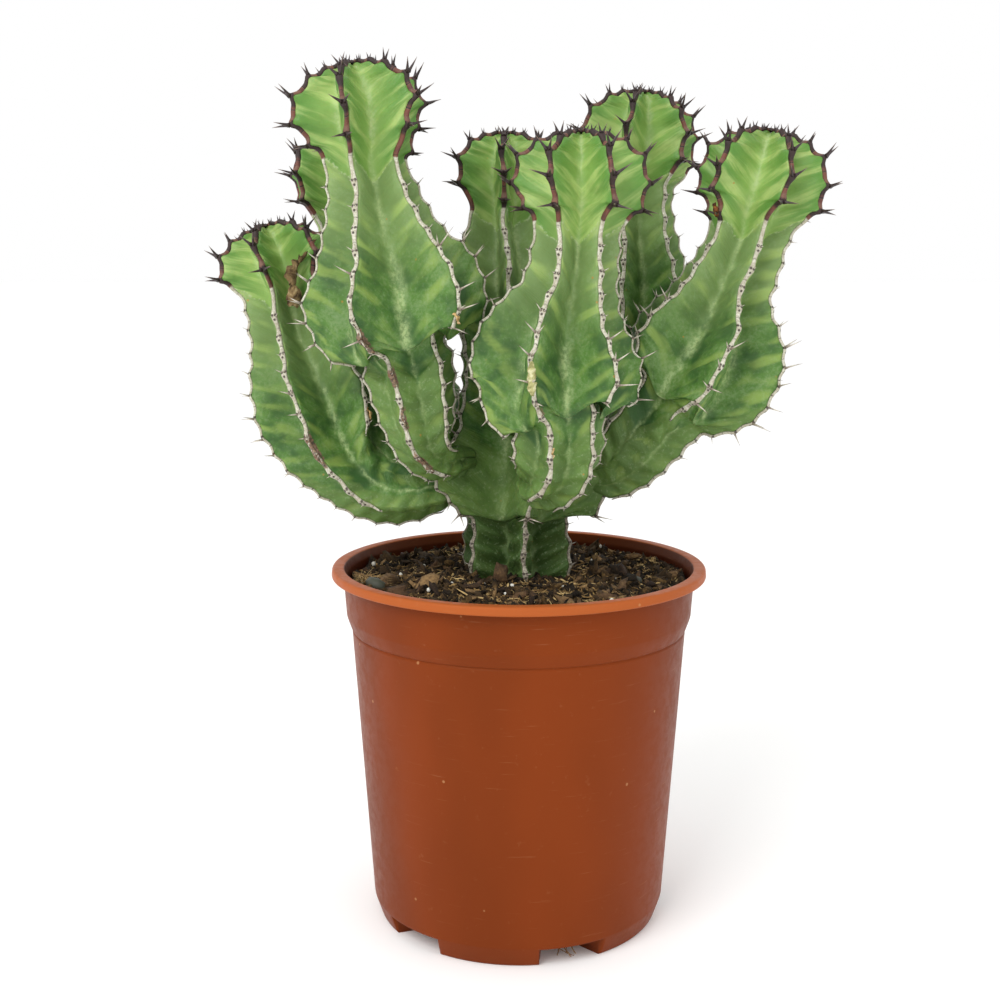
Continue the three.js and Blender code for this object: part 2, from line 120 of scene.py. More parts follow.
def polar(radius: np.ndarray, angle: np.ndarray, height: np.ndarray | float) -> np.ndarray:
    """Points at an angle from the front: (radius * sin(angle), -radius * cos(angle), height)."""
    return np.stack(np.broadcast_arrays(radius * np.sin(angle), -radius * np.cos(angle), height), -1)


def waves(points: np.ndarray, lengths: tuple[float, float], seed: int) -> np.ndarray:
    """A soft random field: the sum of sines in random directions, times 1.4 over the root of their number.

    Args:
        points: places in mm, in an array whose last axis is x, y, z.
        lengths: the shortest and the longest wavelength in mm.
        seed: the seed of the directions, lengths and phases.

    Returns:
        The field at the points, mostly between -1 and 1.
    """
    rng = np.random.default_rng(seed)
    ways = unit(rng.normal(size=(SINES, points.shape[-1])))
    pitch = np.exp(rng.uniform(math.log(lengths[0]), math.log(lengths[1]), SINES))
    phase = rng.uniform(0, TURN, SINES)
    return np.sin(points @ (ways / pitch[:, None]).T * TURN + phase).sum(-1) * 1.4 / math.sqrt(SINES)


@dataclass
class Patch:
    """Points, faces and point attributes of a surface, before it becomes a mesh."""

    points: np.ndarray
    quads: np.ndarray
    tris: np.ndarray
    marks: dict[str, np.ndarray] = field(default_factory=dict)

    def joined(self, others: list[Patch]) -> Patch:
        """This patch and the others as one."""
        all_of = [self, *others]
        starts = np.cumsum([0] + [len(p.points) for p in all_of[:-1]])
        return Patch(
            np.concatenate([p.points for p in all_of]),
            np.concatenate([p.quads + s for p, s in zip(all_of, starts)]),
            np.concatenate([p.tris + s for p, s in zip(all_of, starts)]),
            {key: np.concatenate([p.marks[key] for p in all_of]) for key in self.marks},
        )

    def each(self, values: np.ndarray) -> np.ndarray:
        """One value for each of the patch's equal tubes, repeated for the tube's points."""
        return np.repeat(values, len(self.points) // max(len(values), 1))


def lattice(count: int, rows: int, columns: int) -> tuple[np.ndarray, np.ndarray]:
    """Faces of closed tubes whose points lie row by row, then a point for the foot and one for the tip.

    Args:
        count: how many tubes there are.
        rows: rings along a tube.
        columns: points round a ring.

    Returns:
        The quads between the rings and the triangles of the end fans.
    """
    row, column = np.meshgrid(np.arange(rows - 1), np.arange(columns), indexing="ij")
    after = (column + 1) % columns
    quads = np.stack([row * columns + column, row * columns + after,
                      (row + 1) * columns + after, (row + 1) * columns + column], -1).reshape(-1, 4)
    c = np.arange(columns)
    n = (c + 1) % columns
    foot, tip, last = rows * columns, rows * columns + 1, (rows - 1) * columns
    tris = np.concatenate([np.stack([np.full(columns, foot), n, c], -1),
                           np.stack([np.full(columns, tip), last + c, last + n], -1)])
    starts = (np.arange(count) * (rows * columns + 2))[:, None, None]
    return (quads + starts).reshape(-1, 4), (tris + starts).reshape(-1, 3)


def closed(skin: np.ndarray, foot: np.ndarray | Point, tip: np.ndarray | Point, **marks: np.ndarray) -> Patch:
    """One closed tube from a grid of rows and columns.

    Args:
        skin: the points of row, column and x, y, z.
        foot: the point that closes the first row.
        tip: the point that closes the last row.
        marks: values of row and column. The end points take those of the row's first column.

    Returns:
        The tube.
    """
    def listed(values: np.ndarray, ends: np.ndarray) -> np.ndarray:
        """Values of the grid, then those of its two end points."""
        return np.concatenate([values.reshape(-1, *values.shape[2:]), ends])

    return Patch(listed(skin, np.stack([foot, tip])), *lattice(1, *skin.shape[:2]),
                 {key: listed(values, values[[0, -1], 0]) for key, values in marks.items()})


def tubes(paths: np.ndarray, radii: np.ndarray, sides: int, flat: float = 1.0) -> Patch:
    """Closed tubes along many paths at once.

    At each place of a path there is a ring: place + radius * (cos(a) * A + flat * sin(a) * B), where
    A and B are at right angles to the path. A point closes each end.

    Args:
        paths: the middle lines, in an array of tube, place and x, y, z.
        radii: the radius for each tube and place.
        sides: points round a ring.
        flat: thickness over width of the ring.

    Returns:
        The tubes as one patch, with the mark "reach" that runs from 0 at the foot to 1 at the tip.
    """
    count, rows, _ = paths.shape
    ways = unit(np.gradient(paths, axis=1))
    mean = unit(ways.mean(axis=1, keepdims=True))
    aside = np.where(np.abs(mean[..., 2:]) < 0.8, [[[0.0, 0.0, 1.0]]], [[[1.0, 0.0, 0.0]]])
    first = unit(np.cross(ways, np.broadcast_to(aside, ways.shape)))
    second = np.cross(ways, first)
    angle = (np.arange(sides) / sides * TURN)[:, None]
    ring = first[:, :, None] * np.cos(angle) + flat * second[:, :, None] * np.sin(angle)
    skin = paths[:, :, None] + radii[:, :, None, None] * ring
    ends = np.stack([paths[:, 0], paths[:, -1]], 1)
    points = np.concatenate([skin.reshape(count, -1, 3), ends], 1).reshape(-1, 3)
    reach = np.concatenate([np.repeat(np.linspace(0, 1, rows), sides), [0.0, 1.0]])
    return Patch(points, *lattice(count, rows, sides), {"reach": np.tile(reach, count)})


def placed(patch: Patch, name: str, skin: bpy.types.Material) -> bpy.types.Object:
    """Writes a patch into a mesh object that rides on the plant's body.

    Args:
        patch: the surface in mm.
        name: the object's name.
        skin: its material.

    Returns:
        The new object, with its place in its mesh.
    """
    mesh = bpy.data.meshes.new(name)
    mesh.vertices.add(len(patch.points))
    mesh.vertices.foreach_set("co", (patch.points / 1000).astype(np.float32).ravel())
    corners = np.concatenate([patch.quads.ravel(), patch.tris.ravel()]).astype(np.int32)
    starts = np.concatenate([np.arange(len(patch.quads)) * 4,
                             len(patch.quads) * 4 + np.arange(len(patch.tris)) * 3]).astype(np.int32)
    mesh.loops.add(len(corners))
    mesh.loops.foreach_set("vertex_index", corners)
    mesh.polygons.add(len(starts))
    mesh.polygons.foreach_set("loop_start", starts)
    mesh.polygons.foreach_set("use_smooth", np.ones(len(starts), dtype=bool))
    mesh.update(calc_edges=True)
    for key, values in patch.marks.items():
        kind, target = ("FLOAT", "value") if values.ndim == 1 else ("FLOAT_VECTOR", "vector")
        mark = mesh.attributes.new(key, kind, "POINT")
        mark.data.foreach_set(target, values.astype(np.float32).ravel())
    mesh.validate()
    mesh.materials.append(skin)
    piece = bpy.data.objects.new(name, mesh)
    bpy.context.scene.collection.objects.link(piece)
    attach(piece, "root")
    LOG.info("%s: %d faces", name, len(mesh.polygons))
    return piece


# ------------------------------------------------------------------ materials


@dataclass(frozen=True)
class Value:
    """An output socket of a material under construction, which formulas can add and multiply."""

    painter: Painter
    socket: bpy.types.NodeSocket

    def __add__(self, other: Value | float) -> Value:
        """This plus another."""
        return self.painter.maths("ADD", self, other)

    def __sub__(self, other: Value | float) -> Value:
        """This less another."""
        return self.painter.maths("SUBTRACT", self, other)

    def __rsub__(self, other: float) -> Value:
        """A number less this."""
        return self.painter.maths("SUBTRACT", other, self)

    def __mul__(self, other: Value | float) -> Value:
        """This times another."""
        return self.painter.maths("MULTIPLY", self, other)


class Painter:
    """A material under construction: its node tree and the shader that it feeds."""

    def __init__(self, name: str, **shader: float | tuple[float, ...]) -> None:
        """Makes the material, and sets the constants of its shader.

        Args:
            name: the material's name.
            shader: the constants, with _ for the space in a socket's name.
        """
        self.material = bpy.data.materials.new(name)
        self.material.use_nodes = True
        self.tree = self.material.node_tree
        self.shader = self.tree.nodes["Principled BSDF"]
        for key, value in shader.items():
            self.shader.inputs[key.replace("_", " ").title().replace("Ior", "IOR")].default_value = value

    def node(self, kind: str, inputs: dict | None = None, **settings: object) -> bpy.types.Node:
        """Adds a node.

        Args:
            kind: the node's type, without "ShaderNode".
            inputs: constants or values, by the input's name or number.
            settings: the node's own settings.

        Returns:
            The node.
        """
        made = self.tree.nodes.new("ShaderNode" + kind)
        for key, value in settings.items():
            setattr(made, key, value)
        for key, value in (inputs or {}).items():
            if isinstance(value, Value):
                self.tree.links.new(value.socket, made.inputs[key])
            else:
                made.inputs[key].default_value = value
        return made

    def value(self, kind: str, inputs: dict | None = None, output: int | str = 0,
              **settings: object) -> Value:
        """Adds a node and gives one of its outputs."""
        return Value(self, self.node(kind, inputs, **settings).outputs[output])

    def mark(self, name: str, output: str = "Fac") -> Value:
        """One of the mesh's own attributes, as a number or as a "Vector"."""
        return self.value("Attribute", None, output, attribute_name=name)

    def place(self) -> Value:
        """Object coordinates in mm."""
        where = self.value("TexCoord", None, "Object")
        return self.value("VectorMath", {0: where, "Scale": 1000.0}, operation="SCALE")

    def split(self, vector: Value) -> list[Value]:
        """The three parts of a vector."""
        return [Value(self, socket) for socket in self.node("SeparateXYZ", {0: vector}).outputs]

    def maths(self, operation: str, first: Value | float, second: Value | float = 0.0) -> Value:
        """The result of a Math node."""
        return self.value("Math", {0: first, 1: second}, operation=operation)

    def distance(self, first: Value, second: Value) -> Value:
        """The root of first * first + second * second."""
        return self.maths("SQRT", first * first + second * second)

    def ramp(self, value: Value, low: float, high: float, floor: float = 0.0, top: float = 1.0) -> Value:
        """A value that goes smoothly from floor at low to top at high."""
        return self.value("MapRange", {"Value": value, "From Min": low, "From Max": high, "To Min": floor,
                                       "To Max": top}, interpolation_type="SMOOTHSTEP")

    def noise(self, vector: Value, size: float | Point, detail: float = 3.0, rough: float = 0.55) -> Value:
        """A noise value over a vector.

        Args:
            vector: the coordinates in mm.
            size: mm of its largest blotches, or what each of the coordinates is multiplied by.
            detail: octaves.
            rough: share that each octave has of the one before.

        Returns:
            The value, around 0.5.
        """
        scale = size if isinstance(size, tuple) else (1 / size,) * 3
        place = self.value("VectorMath", {0: vector, 1: scale}, operation="MULTIPLY")
        inputs = {"Vector": place, "Scale": 1.0, "Detail": detail, "Roughness": rough}
        return self.value("TexNoise", inputs, "Fac")

    def cells(self, vector: Value, scale: float) -> Value:
        """The distance to the nearest of many random points."""
        return self.value("TexVoronoi", {"Vector": vector, "Scale": scale}, "Distance")

    def over(self, tint: Value | str, *layers: tuple[Value, Value | str]) -> Value:
        """Lays colours over a first one, each by its own share; colours may be given as hex.

        Of a Mix node, input 0 is the share, 6 and 7 are the colours, and output 2 is the mixed one.

        Args:
            tint: the first colour.
            layers: the share and the colour of each layer, from below.

        Returns:
            The colour on top.
        """
        for share, colour in layers:
            ends = [linear(c) if isinstance(c, str) else c for c in (tint, colour)]
            inputs = {0: share, 6: ends[0], 7: ends[1]}
            tint = self.value("Mix", inputs, 2, data_type="RGBA", clamp_factor=True)
        return tint

    def bump(self, height: Value, depth: float, below: Value | None = None) -> Value:
        """A bump of depth mm for heights from 0 to 1, over another bump if one is given."""
        normal = {} if below is None else {"Normal": below}
        return self.value("Bump", {"Height": height, "Strength": 1.0, "Distance": depth / 1000, **normal})

    def done(self, colour: Value, normal: Value, rough: Value | None = None) -> bpy.types.Material:
        """Feeds the shader and gives back the material."""
        for value, key in ((colour, "Base Color"), (normal, "Normal"), (rough, "Roughness")):
            if value is not None:
                self.tree.links.new(value.socket, self.shader.inputs[key])
        return self.material


@dataclass(frozen=True)
class PlantSkin:
    """Living waxy skin: satin, bright and streaked on a young crown, dull under a grey bloom later."""

    name: str = "waxy_skin"
    crown: str = "#83a554"
    crown_rim: str = "#5a873a"  # beside the margins
    crown_light: str = "#b9cb7d"
    crown_edge: str = "#b9c49e"  # a pale scurf where the crown ends
    neck: str = "#799356"  # growth of the last season, under the crown
    neck_light: str = "#a2ba69"
    old: str = "#4a7229"
    old_dark: str = "#2c5120"
    old_light: str = "#869f4b"
    first: str = "#677f40"  # the first segment of an arm
    trunk: str = "#3a5125"
    bloom: str = "#99aa82"
    stripe: str = "#a3b67c"  # down the middle of a groove
    tick: str = "#b07a35"  # a few tiny wounds
    cork: str = "#77604a"
    cork_dark: str = "#43352a"
    streak: tuple[float, float] = (5.4, 24.0)  # mm across and along a streak on a crown
    fibre: tuple[float, float] = (1.1, 9.0)  # the same for the fine streaks in it
    patch: tuple[float, float] = (7.0, 17.0)  # the same on old growth
    wrinkle: tuple[float, float] = (1.5, 11.0)
    haze: tuple[float, float] = (5.0, 9.0)
    mottle: float = 14.0  # mm
    speck: float = 1.6

    def make(self) -> bpy.types.Material:
        """Builds the material from the mesh's marks.

        They are "lay" (mm up, mm out of the groove, face), "state" (age, cork, fold) and "beat",
        which rises to 1 between two teeth.

        Returns:
            The material.
        """
        p = Painter(self.name, roughness=0.46, ior=1.42, specular_ior_level=0.36,
                    subsurface_weight=0.06, subsurface_scale=0.003)
        lay, beat, place = p.mark("lay", "Vector"), p.mark("beat"), p.place()
        age, cork, fold = p.split(p.mark("state", "Vector"))
        broad = p.noise(lay, (1 / self.streak[0], 1 / self.streak[1], 0.37), 2.0)
        fine = p.noise(lay, (1 / self.fibre[0], 1 / self.fibre[1], 0.61), 3.0, 0.6)
        soft = p.noise(lay, (1 / self.patch[0], 1 / self.patch[1], 0.29), 1.5)
        mottle, speck = p.noise(place, self.mottle), p.noise(place, self.speck, 4.0, 0.7)
        hazy = p.noise(place, (1 / self.haze[0], 1 / self.haze[0], 1 / self.haze[1]), 3.0, 0.6)

        streak = p.ramp(fine * 0.23 + broad * 0.77 + beat * 0.06 * fold, 0.44, 0.68)
        young = p.over(self.crown, (p.ramp(fold, 0.15, 0.95), self.crown_rim),
                       (streak * 0.6, self.crown_light), (p.ramp(mottle, 0.62, 0.35, 0.0, 0.3), self.old))

        fleck = p.over(self.old_light, (p.ramp(age, GROWN, 1.02), self.neck_light))
        soft = p.ramp(soft + beat * 0.13, 0.5, 0.76) * p.ramp(fold, 0.1, 0.7, 0.15, 0.7)
        cloud = p.ramp(speck * 0.5 + mottle * 0.5, 0.46, 0.7, 0.03, 0.34)
        dusty = p.ramp(speck, 0.56, 0.66) * p.ramp(age, 1.25, 1.95, 0.0, 0.42)
        aged = p.over(self.old, (p.ramp(mottle, 0.6, 0.36), self.old_dark),
                      (p.ramp(age, GROWN, 1.02, 0.0, 0.85), self.neck), (soft, fleck), (cloud, self.bloom),
                      (p.ramp(age, 1.34, 1.56, 0.0, 0.5), self.first),
                      (p.ramp(age, 1.66, TRUNK, 0.0, 0.78), self.trunk), (dusty, self.bloom))

        edge = p.ramp(age, 0.1, 0.5) * p.ramp(age, 0.9, 0.5) * p.ramp(speck, 0.45, 0.6) * 0.55
        stripe = p.ramp(fold, 0.26, 0.0) * p.ramp(hazy, 0.36, 0.66, 0.1, 1.0)
        stripe = stripe * p.ramp(speck, 0.4, 0.58, 0.45, 1.0) * p.ramp(age, GROWN, 1.7, 0.8, 0.3)
        tick = p.ramp(p.cells(place, 0.11), 0.07, 0.045) * p.ramp(mottle, 0.5, 0.6) * 0.7
        bark = p.over(self.cork_dark, (p.ramp(speck, 0.4, 0.65), self.cork))
        corky = p.ramp(cork * p.ramp(fold, 0.86, 0.99) + (speck - 0.5) * 1.8, 0.5, 0.75)
        tint = p.over(young, (p.ramp(age, 0.35, 0.65), aged), (edge, self.crown_edge), (stripe, self.stripe),
                      (tick, self.tick), (corky, bark))

        wrinkle = p.noise(lay, (1 / self.wrinkle[0], 1 / self.wrinkle[1], 0.2), 2.0)
        wrinkle = wrinkle * p.ramp(fold, 0.1, 0.4) * p.ramp(age, 1.5, TRUNK, 0.6, 1.7)
        normal = p.bump(speck, 0.12, p.bump(wrinkle + hazy * 0.5, 0.5))
        return p.done(tint, normal, p.ramp(age, 0.3, FIRST, 0.4, 0.56))


@dataclass(frozen=True)
class HornyMargin:
    """The dry rim of a rib: dark maroon horn on a crown, weathered to pale grey cork on old growth."""

    name: str = "horny_margin"
    shield: str = "#261a19"
    between: str = "#6d3f31"
    between_dark: str = "#53302b"
    plate: str = "#7d6450"
    grey: str = "#d3d1c1"
    grey_dark: str = "#aba58f"
    tan: str = "#8a7a64"
    trunk: str = "#5e5143"
    pit: str = "#33261f"
    cork: str = "#86603f"
    cork_dark: str = "#3a261b"
    pits: tuple[Point, ...] = ((0.5, 0.74, 0.6), (-1.5, 0.0, 0.5))  # mm up from a tooth, mm aside, radius

    def make(self) -> bpy.types.Material:
        """Builds the material from the marks "tooth" (mm above the nearest tooth, mm across, age) and "cork".

        Returns:
            The material.
        """
        p = Painter(self.name, roughness=0.55, ior=1.45)
        up, across, age = p.split(p.mark("tooth", "Vector"))
        across, place = p.maths("ABSOLUTE", across), p.place()
        grain, cloud = p.noise(place, 0.9, 4.0, 0.65), p.noise(place, 4.0, 2.0)

        ragged = up + (grain - 0.5) * 2.2
        shield = p.ramp(ragged, -5.2, -3.4) * p.ramp(ragged, 1.3, 0.7) * 0.92
        plate = p.ramp(ragged, 0.9, 1.5) * p.ramp(ragged, 3.4, 2.6) * 0.4
        young = p.over(self.between_dark, (p.ramp(cloud, 0.35, 0.65), self.between), (plate, self.plate),
                       (shield, self.shield))

        dents = [p.ramp(p.distance(up - rise, across - aside), size * 1.25, size * 0.7)
                 for rise, aside, size in self.pits]
        pits = p.maths("MAXIMUM", *dents)
        weathered = p.ramp(age, 1.5, 1.9, 0.0, 0.85) * p.ramp(grain, 0.36, 0.58)
        aged = p.over(self.grey_dark, (p.ramp(grain, 0.34, 0.66), self.grey),
                      (p.ramp(cloud, 0.62, 0.42, 0.0, 0.3), self.tan), (weathered, self.trunk),
                      (pits * 0.9, self.pit))

        torn = p.noise(place, (1 / 2.4, 1 / 2.4, 1 / 7.0), 3.0, 0.7)
        worn = p.ramp(p.mark("cork") + (torn - 0.5) * 3.2, 0.5, 0.72) * 0.85
        bark = p.over(self.cork_dark, (p.ramp(grain, 0.4, 0.62), self.cork))
        grown = p.ramp(age, 0.3, 0.6)
        tint = p.over(young, (grown, aged), (worn, bark))
        return p.done(tint, p.bump(1.0 - pits * grown, 0.3, p.bump(grain, 0.3)))


@dataclass(frozen=True)
class SpineHorn:
    """Hard horn of a spine: black maroon with a paler tip when young, bleached when old."""

    name: str = "spine_horn"
    young_foot: str = "#2c1e20"
    young_tip: str = "#7c685c"
    old_foot: str = "#8d8173"
    old_tip: str = "#5b4538"
    bleached: str = "#cbc3b3"
    stain: str = "#4a3830"

    def make(self) -> bpy.types.Material:
        """Builds the material from the marks "reach" (0 at the foot, 1 at the tip) and "age".

        Returns:
            The material.
        """
        p = Painter(self.name, roughness=0.42, ior=1.5)
        reach, grain = p.mark("reach"), p.noise(p.place(), 0.8, 2.0)
        young = p.over(self.young_foot, (p.ramp(reach, 0.45, 1.0), self.young_tip))
        aged = p.over(self.old_foot, (p.ramp(reach, 0.1, 0.5), self.bleached),
                      (p.ramp(reach, 0.6, 1.0), self.old_tip))
        tint = p.over(young, (p.ramp(p.mark("age"), 0.3, 0.7), aged),
                      (p.ramp(grain, 0.4, 0.7, 0.0, 0.35), self.stain))
        return p.done(tint, p.bump(grain, 0.06))


@dataclass(frozen=True)
class PotPlastic:
    """Injection-moulded polypropylene: satin, one colour through, with light scuffs and dust."""

    name: str = "terracotta_polypropylene"
    body: str = "#7a3514"
    deep: str = "#6f3012"
    rim_highlight: str = "#a4552a"  # painted highlight on the rim's top band, where it catches the light
    rim_highlight_foot: tuple[float, float] = (158.6, 159.8)
    inner_wall_shade: str = "#471c0c"  # painted shade on the inner wall, which gets less light
    inner_shade_foot: tuple[float, float] = (141.0, 143.0)
    inner_shade_top: tuple[float, float] = (163.5, 162.7)
    lean: float = 0.0685  # radius gained for each mm up the wall
    inner: tuple[float, float] = (68.35, 68.0)  # radius less the lean, where the inner face begins
    scuff: str = "#a97a58"
    fleck: str = "#b98a5e"
    fleck_gap: float = 17.0  # mm between the few pale flecks
    sheen: str = "#ffd8b4"  # the tone of its reflections at a grazing view

    def make(self) -> bpy.types.Material:
        """Builds the material: a broad drift of tone, fine orange peel, short scuffs, a few flecks, a painted
        rim highlight and painted shade on the inner wall.

        Returns:
            The material.
        """
        p = Painter(self.name, roughness=0.42, ior=1.49, specular_ior_level=0.1, subsurface_weight=0.04,
                    subsurface_scale=0.002, specular_tint=linear(self.sheen))
        place = p.place()
        drift = p.noise(place, (1 / 60.0, 1 / 60.0, 1 / 140.0), 2.0)
        scratch = p.noise(place, (1 / 22.0, 1 / 22.0, 1 / 1.1), 3.0, 0.6)
        dust = p.noise(place, 5.0, 4.0, 0.7)
        x, y, height = p.split(place)
        # Painted shade: the inner wall is darkened from just under the rim's top down to the shoulder, where
        # less light reaches it.
        inside = p.ramp(p.distance(x, y) - height * self.lean, *self.inner)
        inside = p.ramp(height, *self.inner_shade_top) * p.ramp(height, *self.inner_shade_foot) * inside * 0.85
        # Painted highlight on the rim's top band, from about 159 mm up.
        tint = p.over(self.deep, (p.ramp(drift, 0.35, 0.65), self.body),
                      (p.ramp(height, *self.rim_highlight_foot), self.rim_highlight), (inside, self.inner_wall_shade),
                      (p.ramp(scratch, 0.64, 0.78, 0.0, 0.22), self.scuff),
                      (p.ramp(dust, 0.62, 0.8, 0.0, 0.18), self.scuff),
                      (p.ramp(p.cells(place, 1 / self.fleck_gap), 0.05, 0.03) * 0.5, self.fleck))
        normal = p.bump(drift, 0.5, p.bump(p.noise(place, 0.7, 2.0), 0.03))
        return p.done(tint, normal, p.ramp(dust, 0.35, 0.7, 0.36, 0.5))


@dataclass(frozen=True)
class Litter:
    """Loose dry matter, from dark peat to straw, in a tone for each crumb."""

    name: str
    tones: tuple[str, str, str]
    grain: float = 0.9  # mm
    depth: float = 0.5  # mm of relief
    rough: float = 0.95

    def make(self) -> bpy.types.Material:
        """Builds the material from the mark "tone", which is 0 to 1 for each crumb.

        Returns:
            The material.
        """
        p = Painter(self.name, roughness=self.rough, ior=1.4)
        place = p.place()
        grit, clump = p.noise(place, self.grain, 4.0, 0.65), p.noise(place, self.grain * 6, 2.0)
        tone = p.mark("tone") + (grit - 0.5) * 0.9
        dark, middle, light = self.tones
        tint = p.over(dark, (p.ramp(tone, 0.1, 0.55), middle), (p.ramp(tone, 0.55, 1.0), light),
                      (p.ramp(clump, 0.55, 0.3, 0.0, 0.5), dark))
        return p.done(tint, p.bump(grit, self.depth))


# ------------------------------------------------------------------ pot


@dataclass
class Pot:
    """The nursery pot: a thin moulded wall with a flanged rim, a band, a shoulder and a notched foot."""

    corners: tuple[Point, ...] = (
        (52, 8, 0.7), (52, 0, 0.7), (64.5, 0, 0.9), (67.6, 9.1, 0.6), (76.0, 134.4, 0.3), (75.5, 135.2, 0.25),
        (76.35, 136.0, 0.3), (77.8, 140, 1.2), (78.4, 142, 0.6), (79.6, 159.4, 0.5), (85, 159.4, 1.1),
        (84.6, 163.4, 1.3), (79.3, 163.4, 0.9), (78, 159.4, 0.8), (76.8, 142, 0.8), (74.5, 134.6, 0.8),
        (66, 9.6, 1.6),
    )  # radius, height and rounding of each corner of the wall's section
    floor_bottom: float = 8.0
    floor_top: float = 9.6
    floor_radii: tuple[float, ...] = (0.01, 20.0, 36.0)
    run: float = 6.0  # mm between points on a straight run of the section
    notches: tuple[float, ...] = (-45, 20, 93.75, 167.5, 241.25)
    notch_height: float = 8.2
    notch_inner: float = 9.0  # half width at the foot's inner edge
    notch_flare: float = 0.46  # half width gained for each mm outwards
    notch_edge: float = 0.12  # degrees from a notch's edge to the columns inside and outside of it
    foot_inner: float = 52.0
    knots: tuple[int, ...] = (0, 9, 10, 50, 51, 60)  # columns at the middle and beside the edges of notches
    drain_radius: float = 4.5
    drain_ring: float = 45.0

    def section(self) -> np.ndarray:
        """The wall's section as radius and height, with each corner rounded.

        A rounding is a quadratic curve from the corner's inward side to its outward side:
        (1-s)^2 * before + 2s(1-s) * corner + s^2 * after.

        Returns:
            The points from the floor's underside round the rim to the floor's top.
        """
        corners = np.array(self.corners, dtype=float)
        places, reach = corners[:, :2], corners[:, 2:]
        before = np.vstack([[40.0, self.floor_bottom], places[:-1]])
        after = np.vstack([places[1:], [40.0, self.floor_top]])
        start = places + unit(before - places) * reach
        end = places + unit(after - places) * reach
        s = np.linspace(0, 1, 6)[:, None, None]
        arcs = (1 - s) ** 2 * start + 2 * s * (1 - s) * places + s**2 * end
        line = [np.array([[radius, self.floor_bottom] for radius in self.floor_radii])]
        for k in range(len(places)):
            line.append(arcs[:, k])
            if k + 1 < len(places):
                gap = np.linalg.norm(start[k + 1] - end[k])
                steps = np.linspace(0, 1, max(int(gap / self.run), 1) + 1)[1:-1, None]
                line.append(end[k] + (start[k + 1] - end[k]) * steps)
        line.append(np.array([[radius, self.floor_top] for radius in self.floor_radii[::-1]]))
        return np.concatenate(line)

    def angles(self, radius: np.ndarray) -> tuple[np.ndarray, np.ndarray]:
        """Where the columns of the wall stand, so that some follow the notches' edges.

        Between the middle of a notch and the middle of the next one, the columns' angles run
        piecewise evenly through the two edges, each of which has a column just inside and one
        just outside of it.

        Args:
            radius: the radius of each row of the section.

        Returns:
            The angle of each row and column from the front, in radians, and whether the column is
            inside a notch.
        """
        held = np.clip(radius, self.foot_inner, 67.0)
        half = self.notch_inner + self.notch_flare * (held * 0.975 - self.foot_inner)
        edge = np.degrees(np.arcsin(np.clip(half, 8.0, 20.0) / held))[:, None]
        middles = np.array(self.notches)
        knots, beside = np.array(self.knots), self.notch_edge
        step = np.arange(knots[-1])
        span = np.clip(np.searchsorted(knots, step, side="right") - 1, 0, len(knots) - 2)
        share = (step - knots[span]) / (knots[span + 1] - knots[span])
        rows = []
        for start, stop in zip(middles, np.append(middles[1:], middles[0] + 360)):
            table = np.concatenate([start + 0 * edge, start + edge - beside, start + edge + beside,
                                    stop - edge - beside, stop - edge + beside, stop + 0 * edge], 1)
            rows.append(table[:, span] * (1 - share) + table[:, span + 1] * share)
        inside = (step <= knots[1]) | (step >= knots[-2])
        return np.radians(np.concatenate(rows, 1)), np.tile(inside, len(middles))

    def build(self) -> None:
        """Turns the section round the axis, lifts the foot over the notches and drills the drains.

        Inside a notch, a point is at least at the notch's height where the section belongs to the foot.
        """
        section = self.section()
        angle, inside = self.angles(section[:, 0])
        height = np.broadcast_to(section[:, 1:], angle.shape).copy()
        foot = (section[:, :1] > self.foot_inner - 1) & (height < self.notch_height) & inside
        height[foot] = self.notch_height
        skin = polar(section[:, :1], angle, height)
        patch = closed(skin, (0, 0, self.floor_bottom), (0, 0, self.floor_top))
        pot = placed(patch, "nursery_pot", PotPlastic().make())
        self.drill(pot)
        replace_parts(pot, "pot")

    def drill(self, pot: bpy.types.Object) -> None:
        """Cuts the drain holes through the floor, one inside each notch."""
        heights = np.array([self.floor_bottom - 3, self.floor_top + 3])
        ring = np.full((len(self.notches), 1), self.drain_ring)
        paths = polar(ring, np.radians(self.notches)[:, None], heights)
        plug = tubes(paths, np.full(paths.shape[:2], self.drain_radius), 28)
        cutter = placed(plug, "drain_cutter", pot.data.materials[0])
        cut = pot.modifiers.new("drains", "BOOLEAN")
        cut.operation, cut.object, cut.solver = "DIFFERENCE", cutter, "EXACT"
        shown = pot.evaluated_get(bpy.context.evaluated_depsgraph_get())
        drilled = bpy.data.meshes.new_from_object(shown)
        pot.modifiers.clear()
        pot.data = drilled
        bpy.data.objects.remove(cutter, do_unlink=True)


# ------------------------------------------------------------------ potting mix


